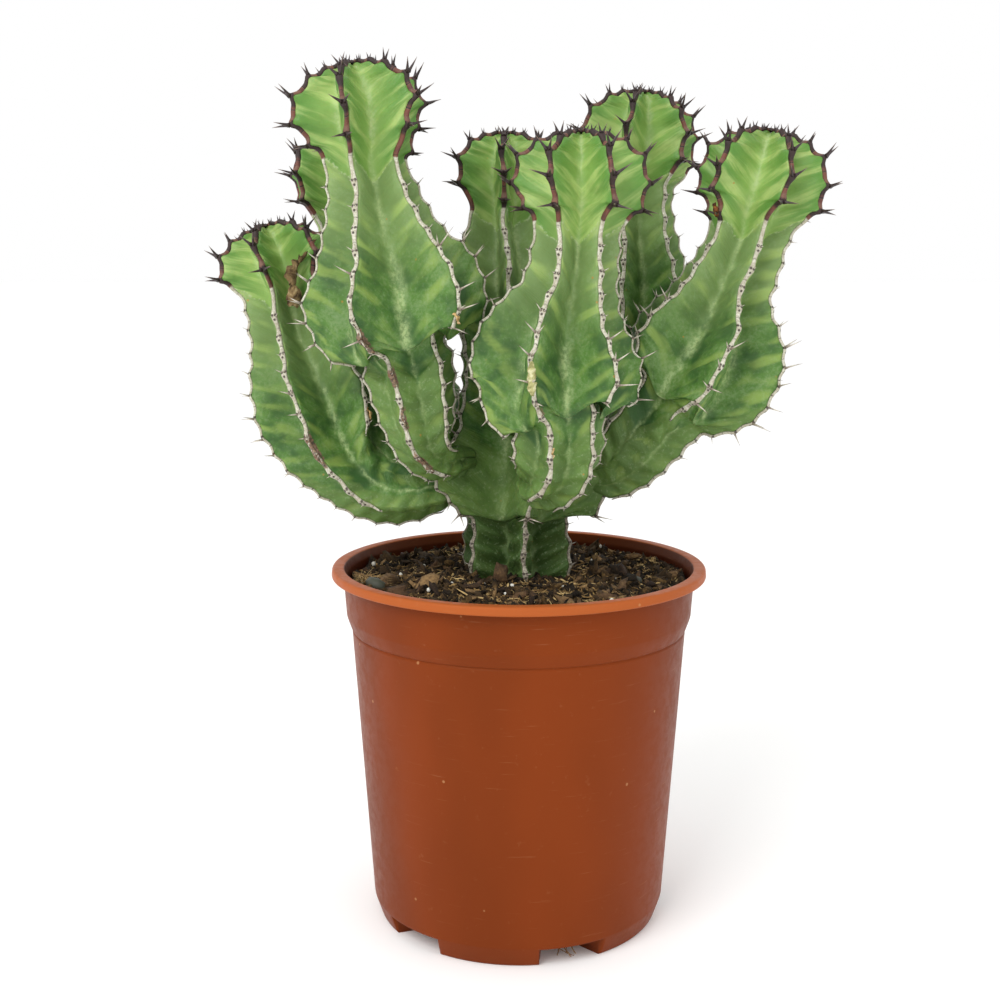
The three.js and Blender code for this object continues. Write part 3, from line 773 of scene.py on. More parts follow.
@dataclass
class PottingMix:
    """Coarse peat with bark, straw, coir, white grit and pebbles, filled up to under the rim."""

    level: float = 156.0
    crown: float = 2.2
    lump: float = 1.1
    radius: float = 76.6
    side: tuple[tuple[float, float], ...] = ((76.5, 151), (76, 145), (73.6, 133.6), (69, 70), (64.8, 10.2))
    rings: int = 74  # from the middle of the top out to the wall
    columns: int = 260
    stem: tuple[float, float] = (-1.0, 5.0)
    chunks: tuple[tuple[float, ...], ...] = (
        (-52, -34, 8, 4, 2.6), (-40, -28, 7, 3.6, 3), (-60, -20, 7, 4.4, 2.6), (-8, -21.8, 6, 4, 3.2),
        (20, -56, 6.5, 2.6, 2), (44, -30, 5.5, 3.6, 2.4),
    )  # x, y and three half sizes of the large pieces of bark
    stones: tuple[tuple[float, ...], ...] = (
        (-63, -27, 6.2, 4.4, 3.2), (31, 34, 4.0, 3.4, 2.4), (52, -14, 3.6, 2.8, 2.2),
    )  # the same of the pebbles
    tuft: tuple[float, float] = (-68.0, -16.0)  # where a tuft of coir lies
    tuft_count: int = 60
    seed: int = 41

    def height(self, x: np.ndarray, y: np.ndarray, fine: float = 1.0) -> np.ndarray:
        """Height of the mix: the level, a low crown round the stem, three crossing waves and crumbs.

        Args:
            x: places across.
            y: places in depth.
            fine: how much of the crumbs is added.

        Returns:
            The height at each place.
        """
        fall = smooth(np.hypot(x, y), 30, 72)
        lumps = np.sin(x * 0.19 + 1.3) + np.sin(y * 0.23 + x * 0.08) + np.sin((x - y) * 0.13)
        flat = np.stack([x, y], -1)
        crumbs = np.abs(waves(flat, (5, 16), 3)) * 1.5 + waves(flat, (2.2, 5), 4) * 0.55
        return self.level + self.crown * (1 - fall) + self.lump * lumps / 3 + fine * (crumbs - 0.9)

    def bed(self) -> Patch:
        """The closed, filled body: rings from the middle of the top out to the wall, down it and in below."""
        down = np.array(self.side)
        reach = np.concatenate([np.linspace(0.8, self.radius, self.rings), down[:, 0]])
        skin = polar(reach[:, None], np.linspace(0, TURN, self.columns, endpoint=False), 0.0)
        skin[..., 2] = self.height(skin[..., 0], skin[..., 1])
        skin[self.rings :, :, 2] = down[:, 1:]
        top = float(self.height(np.zeros(1), np.zeros(1))[0])
        patch = closed(skin[::-1], (0, 0, down[-1, 1]), (0, 0, top))
        patch.marks = {"tone": 0.3 + 0.25 * waves(patch.points, (3, 12), 9)}
        return patch

    def scattered(self, count: int, rng: np.random.Generator, keep: float = 27.0) -> np.ndarray:
        """Random places on the mix, clear of the stem and of the pot's wall.

        Args:
            count: how many places.
            rng: the source of chance.
            keep: mm kept clear round the stem's middle.

        Returns:
            x and y of each place.
        """
        tries = rng.uniform(-self.radius, self.radius, size=(count * 4, 2))
        inside = np.hypot(*tries.T) < self.radius - 1.5
        clear = np.hypot(*(tries - self.stem).T) > keep
        return tries[inside & clear][:count]

    def held(self, flat: np.ndarray, most: float) -> np.ndarray:
        """Draws places further out than a radius in to it."""
        reach = np.hypot(flat[..., 0], flat[..., 1])
        return flat * np.minimum(1.0, most / np.maximum(reach, 1e-6))[..., None]

    def crumbs(self, places: np.ndarray, sizes: np.ndarray, tones: np.ndarray, sink: float,
               uneven: float, rng: np.random.Generator) -> Patch:
        """Many rough crumbs: each is a round one, made uneven, stretched and turned at random.

        The round one has rings at 45 degrees down, level and 45 degrees up, and two poles. Points
        that would reach into the pot's wall are drawn in to it.

        Args:
            places: x and y of each crumb.
            sizes: its half sizes along its own three directions.
            tones: its tone.
            sink: share of its least half size by which it sits above the mix.
            uneven: how far its points stray.
            rng: the source of chance.

        Returns:
            The crumbs as one patch.
        """
        angle = np.arange(BALL_COLUMNS) / BALL_COLUMNS * TURN
        lift = np.radians(np.linspace(-45, 45, BALL_ROWS))[:, None]
        ring = np.stack(np.broadcast_arrays(np.cos(lift) * np.cos(angle), np.cos(lift) * np.sin(angle),
                                            np.sin(lift)), -1).reshape(-1, 3)
        ball = np.concatenate([ring, [[0, 0, -1], [0, 0, 1]]])
        count = len(places)
        w, x, y, z = unit(rng.normal(size=(count, 4)) * np.array([1, 0.35, 0.35, 1.0])).T
        turn = np.stack([
            1 - 2 * (y * y + z * z), 2 * (x * y - z * w), 2 * (x * z + y * w),
            2 * (x * y + z * w), 1 - 2 * (x * x + z * z), 2 * (y * z - x * w),
            2 * (x * z - y * w), 2 * (y * z + x * w), 1 - 2 * (x * x + y * y),
        ], -1).reshape(-1, 3, 3)
        shape = ball[None] * (1 + rng.normal(scale=uneven, size=(count, len(ball), 1)))
        shape = (shape * sizes[:, None]) @ turn.transpose(0, 2, 1)
        lift = self.height(places[:, 0], places[:, 1]) + sizes.min(-1) * sink
        shape = shape + np.concatenate([places, lift[:, None]], -1)[:, None]
        shape[..., :2] = self.held(shape[..., :2], self.radius + 0.3)
        patch = Patch(shape.reshape(-1, 3), *lattice(count, BALL_ROWS, BALL_COLUMNS))
        patch.marks = {"tone": patch.each(tones)}
        return patch

    def strands(self, count: int, length: tuple[float, float], width: tuple[float, float],
                rng: np.random.Generator, curl: float = 0.25, places: np.ndarray | None = None) -> Patch:
        """Straws or fibres that lie on the mix: bent lines with a slight arch.

        A strand is place + way * s + across * curl * s^2 with s from minus to plus half its length,
        at the height of the mix and a little above it.

        Args:
            count: how many strands.
            length: shortest and longest.
            width: thinnest and thickest radius.
            rng: the source of chance.
            curl: how strongly they bend.
            places: x and y of each strand's middle, or none for random places.

        Returns:
            The strands as one patch.
        """
        middle = self.scattered(count, rng) if places is None else places
        count = len(middle)
        angle = rng.uniform(0, TURN, count)
        way = np.stack([np.cos(angle), np.sin(angle)], -1)
        across = way[:, ::-1] * np.array([-1, 1])
        long = rng.uniform(*length, count)[:, None]
        s = np.linspace(-0.5, 0.5, 7)[None] * long
        bend = rng.normal(scale=curl, size=(count, 1)) * s**2 / long
        flat = middle[:, None] + way[:, None] * s[..., None] + across[:, None] * bend[..., None]
        flat = self.held(flat, self.radius - 1.2)
        tilt = rng.uniform(-0.12, 0.22, size=(count, 1)) * s + rng.uniform(0.2, 1.2, size=(count, 1))
        z = self.height(flat[..., 0], flat[..., 1], 0.4) + np.abs(tilt)
        thick = rng.uniform(*width, count)[:, None] * (1 - (np.abs(np.linspace(-1, 1, 7)) ** 4)[None] * 0.6)
        patch = tubes(np.concatenate([flat, z[..., None]], -1), thick, 5, 0.55)
        patch.marks = {"tone": patch.each(rng.uniform(0.2, 1.0, count))}
        return patch

    def build(self) -> None:
        """Builds the bed and everything that lies in it."""
        rng = np.random.default_rng(self.seed)
        peat = Litter("coarse_peat", ("#1e160c", "#44321c", "#7f6339")).make()
        bark = Litter("pine_bark", ("#2c2018", "#5a422c", "#97784f"), 1.3, 0.9, 0.9).make()
        straw = Litter("straw_and_coir", ("#644a2c", "#a78551", "#d2b47c"), 1.2, 0.2, 0.8).make()
        grit = Litter("white_grit", ("#b9b4a6", "#dedbd0", "#f2f0e8"), 0.8, 0.3, 0.85).make()
        stone = Litter("grey_pebble", ("#2b2c24", "#43453a", "#5d5e4f"), 2.0, 0.15, 0.6).make()
        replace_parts(placed(self.bed(), "peat_bed", peat), "potting_mix")

        small = self.scattered(3700, rng, 25.5)
        sizes = np.exp(rng.normal(-0.36, 0.42, (len(small), 1))) * rng.uniform(0.32, 2.1, (len(small), 3))
        sizes = sizes * np.array([1.6, 0.75, 0.62])
        crumbs = self.crumbs(small, sizes, rng.uniform(0, 0.76, len(small)), 0.3, 0.4, rng)
        placed(crumbs, "peat_crumbs", peat)

        chips = self.scattered(150, rng, 31)
        spans = ((2.2, 5.2), (1.1, 2.2), (0.7, 1.4))
        sizes = np.stack([rng.uniform(*span, len(chips)) for span in spans], -1)
        chips, sizes = np.split(np.concatenate([np.hstack([chips, sizes]), self.chunks]), [2], 1)
        crumbs = self.crumbs(chips, sizes, rng.uniform(0.1, 0.95, len(chips)), 0.6, 0.32, rng)
        placed(crumbs, "bark_chips", bark)

        white = self.scattered(46, rng, 30)
        sizes = np.repeat(rng.uniform(0.5, 1.15, (len(white), 1)), 3, 1)
        crumbs = self.crumbs(white, sizes, rng.uniform(0.3, 1, len(white)), 0.9, 0.08, rng)
        placed(crumbs, "white_grit", grit)

        pebbles, sizes = np.split(np.array(self.stones), [2], 1)
        crumbs = self.crumbs(pebbles, sizes, np.array([0.6, 0.4, 0.5]), 0.6, 0.04, rng)
        placed(crumbs, "pebbles", stone)

        stalks = self.strands(125, (6, 22), (0.3, 0.7), rng)
        wisps = self.strands(1500, (3, 13), (0.12, 0.28), rng, 1.2)
        tuft = np.array(self.tuft) + rng.normal(scale=2.6, size=(self.tuft_count, 2))
        coir = self.strands(self.tuft_count, (6, 15), (0.12, 0.2), rng, 2.2, tuft)
        coir.points[:, 2] += coir.each(rng.uniform(0, 4.5, self.tuft_count))
        flakes = self.strands(330, (3, 8), (0.4, 0.9), rng, 0.3)
        placed(stalks.joined([wisps, coir, flakes]), "straw_and_coir", straw)


# ------------------------------------------------------------------ stems


@dataclass(frozen=True)
class Growth:
    """One stem: its stations, its ribs, and where its crown and its oldest wood begin."""

    name: str
    stations: tuple[tuple[float, ...], ...]  # x, y, z, rib radius, turn of the first rib in degrees
    dome: float
    neck: float  # height of the crown's lower edge at the ribs
    base: float  # height under which the first, oldest segment begins
    seed: int
    ribs: tuple[float, ...] = (0, 60, 120, 180, 240, 300)
    slot: Slot = Slot.YOUNG_GREEN
    starts: float = 0.0  # mm of crest left bare of horn at the foot
    bare: tuple[tuple[int, float], ...] = ()  # ribs that stay bare for another length of crest
    cork: tuple[tuple[float, float, float, float], ...] = ()  # x, y, z and radius of corky places
    uneven: tuple[int, tuple[tuple[float, float], ...]] | None = None  # a rib's number, height and share
    bare_under: float = 0.0  # height under which the uneven rib bears no horn
    trunk: float = 0.0  # height under which the stem is a dark trunk
    folds: tuple[tuple[float, float], ...] = ((200.0, GROOVE),)  # height, and groove over rib radius

    def share(self, number: int, height: np.ndarray) -> np.ndarray:
        """The share of the rib radius that one rib has at each height: straight between its rows."""
        if self.uneven is None or self.uneven[0] != number:
            return np.ones_like(height)
        return np.interp(height, *np.array(self.uneven[1]).T)


MAIN_STEM = Growth(
    "main_stem",
    ((-1, 5, 136.3, 24, 8), (-1, 5, 148, 25.5, 8), (-1, 5, 160.5, 26.6, 8), (-1, 5, 173, 26, 8),
     (-1, 5, 185, 25, 8), (-1, 5, 190, 35, 8), (0, 5, 198, 41, 8), (0, 6, 210, 41, 8), (0, 7, 222, 36, 7),
     (-1, 8, 235, 30, 6), (-2, 10, 250, 26.5, 5), (-3, 13, 266, 26, 3), (-4, 15, 282, 26, 1),
     (-5, 18, 300, 25, -1), (-6, 21, 316, 19.5, -2), (-6, 22, 324, 19, -3), (-6, 22, 333, 23, -3),
     (-6, 22, 342, 24.5, -3)),
    15, 322, 228, 11, slot=Slot.OLD_GREEN, starts=14.0, trunk=188.0,
    cork=((28, -18, 214, 7), (-30, -14, 210, 6)),
    uneven=(5, ((188, 1.0), (195, 1.13), (211, 1.13), (224, 1.0))),
)

ARMS = (
    Growth(
        "arm_left_front",
        ((-23, -12, 213, 7, -16), (-33, -25, 214, 10, -16), (-40, -33, 221, 13, -16),
         (-43, -37, 233, 16, -17), (-45, -38, 246, 18.5, -18), (-47, -38, 256, 19.5, -19),
         (-49, -38, 263, 19, -21), (-51, -38, 269, 34, -22), (-52, -38, 281, 38.5, -22),
         (-54, -38, 293, 36.5, -21), (-57, -38, 306, 27.5, -19), (-60, -38, 322, 20.5, -18),
         (-63, -38, 337, 17.5, -15), (-64, -38, 348, 22.5, -11), (-66, -38, 360, 28.5, -7)),
        19, 340, 262, 23, (0, 67, 120, 180, 238, 294), starts=20.0,
        cork=((-59, -72, 266, 9), (-50, -60, 252, 8), (-44, -50, 236, 7), (-40, -46, 214, 7)),
        folds=((212, 0.66), (250, 0.7), (255, 0.63), (268, 0.6), (300, GROOVE)),
    ),
    Growth(
        "arm_left",
        ((-16, -2, 206, 8, -34), (-33, -8, 203, 13, -34), (-50, -10, 201, 17.5, -33),
         (-61, -10, 203, 19.5, -29), (-71, -9, 210, 22, -23), (-79, -7, 220, 27, -17),
         (-84, -5, 229, 29.5, -14), (-88, -3, 238, 31, -12), (-95, 0, 255, 27, -11),
         (-101, 2, 270, 20, -10), (-104, 3, 286, 20, -8), (-108, 4, 299, 26.5, -6)),
        17, 287, 208, 37, starts=22.0, bare=((0, 52.0),), cork=((-86, -31, 222, 9), (-40, -14, 208, 6)),
        uneven=(1, ((205, 0.62), (217, 1.0))), bare_under=214.0,
        folds=((196, 0.68), (204, 0.64), (214, 0.5), (235, GROOVE)),
    ),
    Growth(
        "arm_back_left",
        ((-27, 18, 218, 8, 10), (-37, 29, 225, 14, 10), (-47, 40, 239, 21, 10), (-57, 48, 256, 25, 10),
         (-67, 50, 276, 24.5, 10), (-75, 50, 296, 21, 10), (-79, 50, 316, 17.5, 10), (-81, 50, 330, 25, 10),
         (-82, 50, 343, 27.5, 10)),
        17, 321, 232, 41, starts=14.0,
    ),
    Growth(
        "arm_front",
        ((5, -24, 204, 8, -8), (10, -36, 206, 13, -8), (14, -44, 213, 17.5, -9), (16, -48, 223, 20, -11),
         (16, -49, 233, 20, -14), (14, -48, 240, 30, -17), (15, -47, 250, 36, -18),
         (15, -47, 262, 35.5, -19), (17, -47, 274, 29.5, -20), (20, -47, 287, 21, -22),
         (22, -47, 301, 18.5, -24), (23, -47, 313, 19, -27), (24, -47, 324, 26.5, -29),
         (24, -47, 334, 27.5, -31)),
        17, 314, 234, 53, (0, 56, 119, 180, 240, 297), starts=22.0,
        cork=((20, -66, 226, 7), (12, -76, 240, 6)),
        folds=((206, 0.66), (221, 0.7), (227, 0.64), (240, 0.6), (270, GROOVE)),
    ),
    Growth(
        "arm_back_right",
        ((22, 22, 218, 8, -25), (34, 31, 224, 13, -25), (46, 40, 235, 20, -25), (54, 46, 252, 26, -24),
         (57, 48, 272, 26, -23), (57, 49, 292, 24.5, -21), (55, 49, 312, 21, -19), (54, 49, 333, 20.5, -17),
         (56, 49, 347, 27.5, -17), (57, 49, 358.5, 28.5, -17)),
        20, 339, 232, 67, starts=14.0,
    ),
    Growth(
        "arm_right",
        ((30, -4, 204, 8, -61), (40, -7, 207, 14, -61), (48, -9, 215, 18, -61), (57, -11, 226, 19.5, -61),
         (66, -12, 236, 20, -61), (71, -12, 242, 31, -62), (79, -12, 255, 37, -62), (84, -12, 270, 33.5, -58),
         (89, -12, 286, 22.5, -57), (95, -12, 300, 19, -57), (99, -12, 314, 19.5, -56),
         (102, -12, 326, 27.5, -54), (104, -12, 337, 28, -51)),
        18, 316, 238, 71, (0, 66, 122, 180, 240, 298), starts=10.0,
        cork=((52, -38, 238, 8), (60, -40, 230, 6), (80, -44, 236, 7)),
        uneven=(1, ((222, 0.62), (238, 1.0))), bare_under=233.0,
        folds=((206, 0.66), (225, 0.68), (231, 0.63), (246, 0.57), (280, GROOVE)),
    ),
)


def curve_through(knots: np.ndarray, places: np.ndarray,
                  level: tuple[int, ...] = ()) -> tuple[np.ndarray, np.ndarray]:
    """A uniform Catmull-Rom curve through the knots.

    Between knots b and c, with a before and d after them, the tangents are (c - a) / 2 and
    (d - b) / 2, joined by the cubic with those ends. Beyond an end the knots go on straight, or,
    for a column that ends level, turn back as they came.

    Args:
        knots: one row of values a knot.
        places: where to read it, counted in knots from the first one.
        level: the columns whose last tangent is zero.

    Returns:
        The values and their rates of change at the places.
    """
    last = 2 * knots[-1] - knots[-2]
    last[list(level)] = knots[-2][list(level)]
    row = np.vstack([2 * knots[0] - knots[1], knots, last])
    at = np.clip(places.astype(int), 0, len(knots) - 2)
    t = (places - at)[:, None]
    a, b, c, d = (row[at + k] for k in range(4))
    u, v = (c - a) / 2, (d - b) / 2
    e, f = -3 * b + 3 * c - 2 * u - v, 2 * b - 2 * c + u + v
    return b + u * t + e * t**2 + f * t**3, u + 2 * e * t + 3 * f * t**2


@dataclass
class Rows:
    """The rows of a stem from its foot to its tip, with the directions at each."""

    centre: np.ndarray
    along: np.ndarray
    girth: np.ndarray  # rib radius
    turn: np.ndarray
    lean: np.ndarray
    run: np.ndarray  # mm up along the ribs
    tip: np.ndarray

    def spoke(self, degrees: float | np.ndarray) -> tuple[np.ndarray, np.ndarray, np.ndarray]:
        """Directions from the rows' middles towards an angle round the stem.

        With F the front at right angles to the stem and R = along x F, out is cos(a) F + sin(a) R,
        the normal leans it back by the slope of the rib, and side is along x out.

        Args:
            degrees: the angle from the front towards the right.

        Returns:
            The directions out, normal and side, one row each.
        """
        front = unit(np.array([0.0, -1.0, 0.0]) + self.along * self.along[:, 1:2])
        right = np.cross(self.along, front)
        a = np.radians(np.broadcast_to(degrees, self.girth.shape))[:, None]
        out = np.cos(a) * front + np.sin(a) * right
        lean = self.lean[:, None]
        return out, np.cos(lean) * out - np.sin(lean) * self.along, np.cross(self.along, out)


def rows_of(growth: Growth, step: float) -> Rows:
    """Spaces rows evenly along the ribs, then over the dome.

    The rib's length grows by the root of (way of the middle)^2 + (gain of radius)^2. On the dome
    the middle is at dome * sin(t) above the last station and the radius is girth * cos(t).

    Args:
        growth: the stem.
        step: mm between rows on a rib.

    Returns:
        The rows; the last one is just under the tip.
    """
    knots = np.array(growth.stations, dtype=float)
    fine = np.linspace(0, len(knots) - 1, (len(knots) - 1) * 30 + 1)
    values, rates = curve_through(knots, fine, (3,))
    pace = np.sqrt((rates[:, :4] ** 2).sum(-1))
    length = np.concatenate([[0], np.cumsum((pace[1:] + pace[:-1]) / 2 * np.diff(fine))])
    even = np.linspace(0, length[-1], int(length[-1] / step) + 1)
    values, rates = curve_through(knots, np.interp(even, length, fine), (3,))
    way = np.linalg.norm(rates[:, :3], axis=-1)
    crown, up = values[-1], unit(rates[-1, :3])
    steps = int((crown[3] + growth.dome) * 0.8 / step)
    t = np.linspace(0, math.pi / 2, steps + 1)[1:-1]
    dome_rows = crown[:3] + up * (growth.dome * np.sin(t))[:, None]
    dome_lean = -np.arctan2(crown[3] * np.sin(t), growth.dome * np.cos(t))
    return Rows(
        np.concatenate([values[:, :3], dome_rows]),
        np.concatenate([unit(rates[:, :3]), np.broadcast_to(up, dome_rows.shape)]),
        np.concatenate([values[:, 3], crown[3] * np.cos(t)]),
        np.concatenate([values[:, 4], np.full(len(t), crown[4])]),
        np.concatenate([np.arctan2(rates[:, 3], way), dome_lean]),
        np.concatenate([even, even[-1] + np.arange(1, len(t) + 1) * step]),
        crown[:3] + up * growth.dome,
    )


@dataclass
class Rib:
    """One rib's crest: where its teeth are, and how it rises and sways along the rows."""

    angle: float
    crest: np.ndarray
    normal: np.ndarray
    side: np.ndarray
    depth: np.ndarray  # mm of crest from the tip down to each row
    teeth: np.ndarray  # depths of the teeth
    rise: np.ndarray
    sway: np.ndarray
    age: np.ndarray
    horned: np.ndarray  # whether each row bears horn

    def above_tooth(self) -> np.ndarray:
        """For each row, how many mm it is above the nearest tooth; below it the number is negative."""
        gaps = self.teeth[None, :] - self.depth[:, None]
        return np.take_along_axis(gaps, np.abs(gaps).argmin(1)[:, None], 1)[:, 0]

    def phase(self, depth: np.ndarray) -> np.ndarray:
        """The count of teeth down to a depth, as a running number."""
        return np.interp(depth, self.teeth, np.arange(len(self.teeth)))


@dataclass
class Stem:
    """A stem's flesh, margins and spines, worked out from its rows."""

    growth: Growth
    crest_half: float = 1.4  # mm, half the width of the flesh under a margin
    margin_half: float = 1.5  # mm, half the width of a margin
    margin_swell: tuple[tuple[float, float], ...] = ((0.6, 0.46), (0.56, 0.36))  # share, gain at a tooth
    drop: float = 7.0  # mm by which a face's bulges lie lower in the groove than on its ribs
    hang: float = 6.5  # mm by which the middle of a face then hangs over its ledge
    neck_drop: float = 9.0  # mm by which the crown's edge lies lower in the groove
    young_pitch: tuple[float, float, float] = (4.4, 1.7, 11.2)  # first gap between teeth, gain, most
    old_pitch: float = 9.4
    rows: Rows = field(init=False)
    ribs: list[Rib] = field(init=False)

    def __post_init__(self) -> None:
        """Works out the rows and the ribs."""
        self.rows = rows_of(self.growth, ROW_STEP)
        rng = np.random.default_rng(self.growth.seed)
        self.ribs = [self.rib(number, rng) for number in range(len(self.growth.ribs))]

    def age_at(self, points: np.ndarray, fold: np.ndarray | float) -> np.ndarray:
        """Age of the skin: 0 on the crown, then the ages under the neck, further down, on the first
        segment and on the trunk.

        Each edge lies lower in a groove than on a rib, which makes it a V on each face.

        Args:
            points: places on the stem.
            fold: 0 in the groove and 1 on the rib.

        Returns:
            The age at each place.
        """
        edge = self.growth.neck - self.neck_drop * (1 - fold) + 0.6 * waves(points, (6, 15), 5)
        oldest = self.growth.base - (self.drop + self.hang) * (1 - fold) + 0.8 * waves(points, (6, 15), 6)
        trunk = self.growth.trunk - 4 * (1 - fold) + 2.0 * waves(points, (8, 20), 7)
        height = points[..., 2]
        age = UNDER_NECK * smooth(edge - height, -1.6, 1.6)
        age = age + (GROWN - UNDER_NECK) * smooth(edge - height, 4.0, 58.0)
        age = age + (FIRST - GROWN) * smooth(oldest - height, -2.0, 2.0)
        return age + (TRUNK - FIRST) * smooth(trunk - height, -5.0, 5.0)

    def cork_at(self, points: np.ndarray) -> np.ndarray:
        """How corky the skin is: 1 in the middle of a corky place, falling to 0 at 1.6 of its radius."""
        cork = np.zeros(points.shape[:-1])
        for *middle, radius in self.growth.cork:
            far = np.linalg.norm(points - np.array(middle), axis=-1) / radius
            cork = np.maximum(cork, 1 - smooth(far, 0.2, 1.6))
        return cork

    def rib(self, number: int, rng: np.random.Generator) -> Rib:
        """Spaces a rib's teeth from the tip down, and shapes its crest.

        The pitch grows from the tip to the crown's widest place and is even on older growth, with a
        tenth of chance. The crest rises by a Gaussian at each tooth and sags between them; it sways
        sideways in two slow waves.

        Args:
            number: which of the stem's ribs it is, from 0.
            rng: the source of chance.

        Returns:
            The rib.
        """
        rows, growth = self.rows, self.growth
        out, normal, side = rows.spoke(rows.turn + growth.ribs[number])
        share = growth.share(number, rows.centre[:, 2])
        crest = rows.centre + out * (rows.girth * share)[:, None]
        steps = np.linalg.norm(np.diff(crest, axis=0), axis=-1)
        depth = np.cumsum(np.append(steps, np.linalg.norm(rows.tip - crest[-1]))[::-1])[::-1]
        age = self.age_at(crest, 1.0)
        crown = float(depth[np.argmin(np.abs(crest[:, 2] - growth.neck))])
        first, gain, most = self.young_pitch
        young = np.cumsum(np.minimum(first + gain * np.arange(40), most) * rng.uniform(0.88, 1.12, 40))
        young = young[young < crown - 3] + rng.uniform(-0.7, 0.3)
        old = crown + 2.0 + np.cumsum(self.old_pitch * rng.uniform(0.9, 1.1, 40))
        teeth = np.concatenate([young, old[old < depth[0] - 3]])
        gap = np.abs(depth[:, None] - teeth[None]).min(1)
        crowned = 1 - np.clip(age, 0, 1)
        sharp = 2.3 * np.exp(-((gap / 1.9) ** 2)) - 0.8
        blunt = 1.25 * np.exp(-((gap / 2.5) ** 2)) - 0.5
        rise = np.clip(rows.girth / 20, 0.25, 1.0) * (sharp * crowned + blunt * (1 - crowned))
        phase = rng.uniform(0, TURN, 3)
        sway = 0.62 * np.sin(depth * TURN / 33 + phase[0]) + 0.26 * np.sin(depth * TURN / 15 + phase[1])
        sway = sway * smooth(depth, 4, 22) * np.clip(rows.girth / 26, 0.2, 1.1)
        bare = np.full(depth.shape, depth[0] - dict(growth.bare).get(number, growth.starts))
        if growth.uneven is not None and growth.uneven[0] == number:
            bare[rows.centre[:, 2] < growth.bare_under] = 0.0
        return Rib(growth.ribs[number], crest, normal, side, depth, teeth, rise, sway, age, depth < bare)

    def margin_depth(self, rib: Rib) -> np.ndarray:
        """Half the height of a rib's margin: 1.35 mm on a crown, 0.65 mm on old growth, less at the tip."""
        return np.minimum(1.35 - 0.7 * np.clip(rib.age, 0, 1), 0.5 + self.rows.girth * 0.1)

    def hanging(self) -> np.ndarray:
        """How far each row's face hangs down over the ledge under it.

        The ledge is the row above the foot where the rib radius grows fastest. The skin hangs from
        8 mm under it, most at 5 mm above it, and not at all from 32 mm above it.

        Returns:
            The mm for each row, or zeros if the stem has no steep ledge.
        """
        rows = self.rows
        rate = np.gradient(rows.girth, rows.run) * (rows.run > 12) * (rows.centre[:, 2] < 280)
        if rate.max() < 0.55:
            return np.zeros_like(rows.run)
        above = rows.run - rows.run[rate.argmax()]
        return self.hang * smooth(above, -8, 5) * (1 - smooth(above, 8, 32))

    def side_of(self, rib: Rib, low: np.ndarray, across: np.ndarray, hand: int) -> tuple[np.ndarray, ...]:
        """One flank of a rib, from its crest down to the groove beside it.

        A flank is a cubic curve: it leaves the crest a little outwards, so the wing is plump behind
        its margin, and comes into the groove level. Low swellings run up and out to each tooth.

        Args:
            rib: the rib.
            low: the groove's points.
            across: the groove's direction sideways.
            hand: 1 for the flank after the rib, -1 for the one before it.

        Returns:
            Points of row and flank place, the share of the way out of the groove, mm from the groove
            and the beat of the swellings.
        """
        under = np.minimum(INSET, 1.75 * self.margin_depth(rib))
        half = np.minimum(self.crest_half, self.rows.girth * 0.16)
        top = rib.crest + rib.normal * (rib.rise - under)[:, None]
        top = top + rib.side * (hand * half + rib.sway)[:, None]
        chord = low - top
        long = np.linalg.norm(chord, axis=-1, keepdims=True)
        one = top + chord * 0.26 + rib.side * hand * long * 0.085
        two = low - across * hand * long * 0.2 - chord * 0.06
        w = np.array(FLANK)[None, :, None]
        top, one, two, low = (part[:, None] for part in (top, one, two, low))
        points = (1 - w) ** 3 * top + 3 * w * (1 - w) ** 2 * one + 3 * w**2 * (1 - w) * two + w**3 * low
        w = w[..., 0]
        fold = np.broadcast_to(1 - w, points.shape[:2])
        swell = np.cos(TURN * rib.phase(rib.depth[:, None] - 0.55 * (w * long)))
        shape = 4 * fold * (1 - fold) * smooth(rib.depth, 6, 25)[:, None]
        plump = 0.62 + 1.5 * smooth(rib.age, 1.5, 2.0)[:, None]
        points = points + rib.side[:, None] * hand * (plump * swell * shape)[..., None]
        sag = self.hanging()[:, None] * smooth(w, 0.05, 0.95)
        points = points - self.rows.along[:, None] * sag[..., None]
        beat = -swell * smooth(fold, 0.08, 0.6) * smooth(rib.depth, 6, 25)[:, None]
        return points, fold, (1 - w) * long, beat

    def flesh(self) -> Patch:
        """The flesh: for each pair of neighbouring ribs, a flank down, the groove and a flank up.

        The groove lies midway between two ribs at its share of the rib radius, and gives way by a
        share of the margin's height that grows where the stem flares. The rib radius is read a
        little further up, so each bulge hangs over in a V on its faces.

        Returns:
            The closed flesh with its marks.
        """
        rows, count = self.rows, len(self.ribs)
        share = 0.3 + 0.7 * np.sin(rows.lean) ** 2
        ahead = self.drop * smooth(rows.run[-1] - rows.run, 12, 34) * smooth(rows.run, 18, 34)
        wide = np.interp(rows.run + ahead, rows.run, rows.girth)
        part = np.interp(rows.centre[:, 2], *np.array(self.growth.folds).T)
        floor = np.minimum(part * wide, 1.12 * rows.girth)
        grids: list[tuple[np.ndarray, ...]] = []
        for k, rib in enumerate(self.ribs):
            after = self.ribs[(k + 1) % count]
            middle = (rib.angle + after.angle + (360 if k + 1 == count else 0)) / 2
            out, normal, across = rows.spoke(rows.turn + middle)
            low = rows.centre + out * floor[:, None] - normal * (INSET * share)[:, None]
            for hand, one in ((1, rib), (-1, after)):
                cut = slice(None) if hand == 1 else slice(-2, None, -1)
                points, fold, far, beat = (part[:, cut] for part in self.side_of(one, low, across, hand))
                face = np.full_like(far, self.growth.seed + k * 3.7)
                lay = np.stack([rows.run[:, None] - 0.75 * far, far, face], -1)
                state = np.stack([self.age_at(points, fold), self.cork_at(points), fold], -1)
                grids.append((points, lay, state, beat))
        skin, lay, state, beat = (np.concatenate(part, 1) for part in zip(*grids))
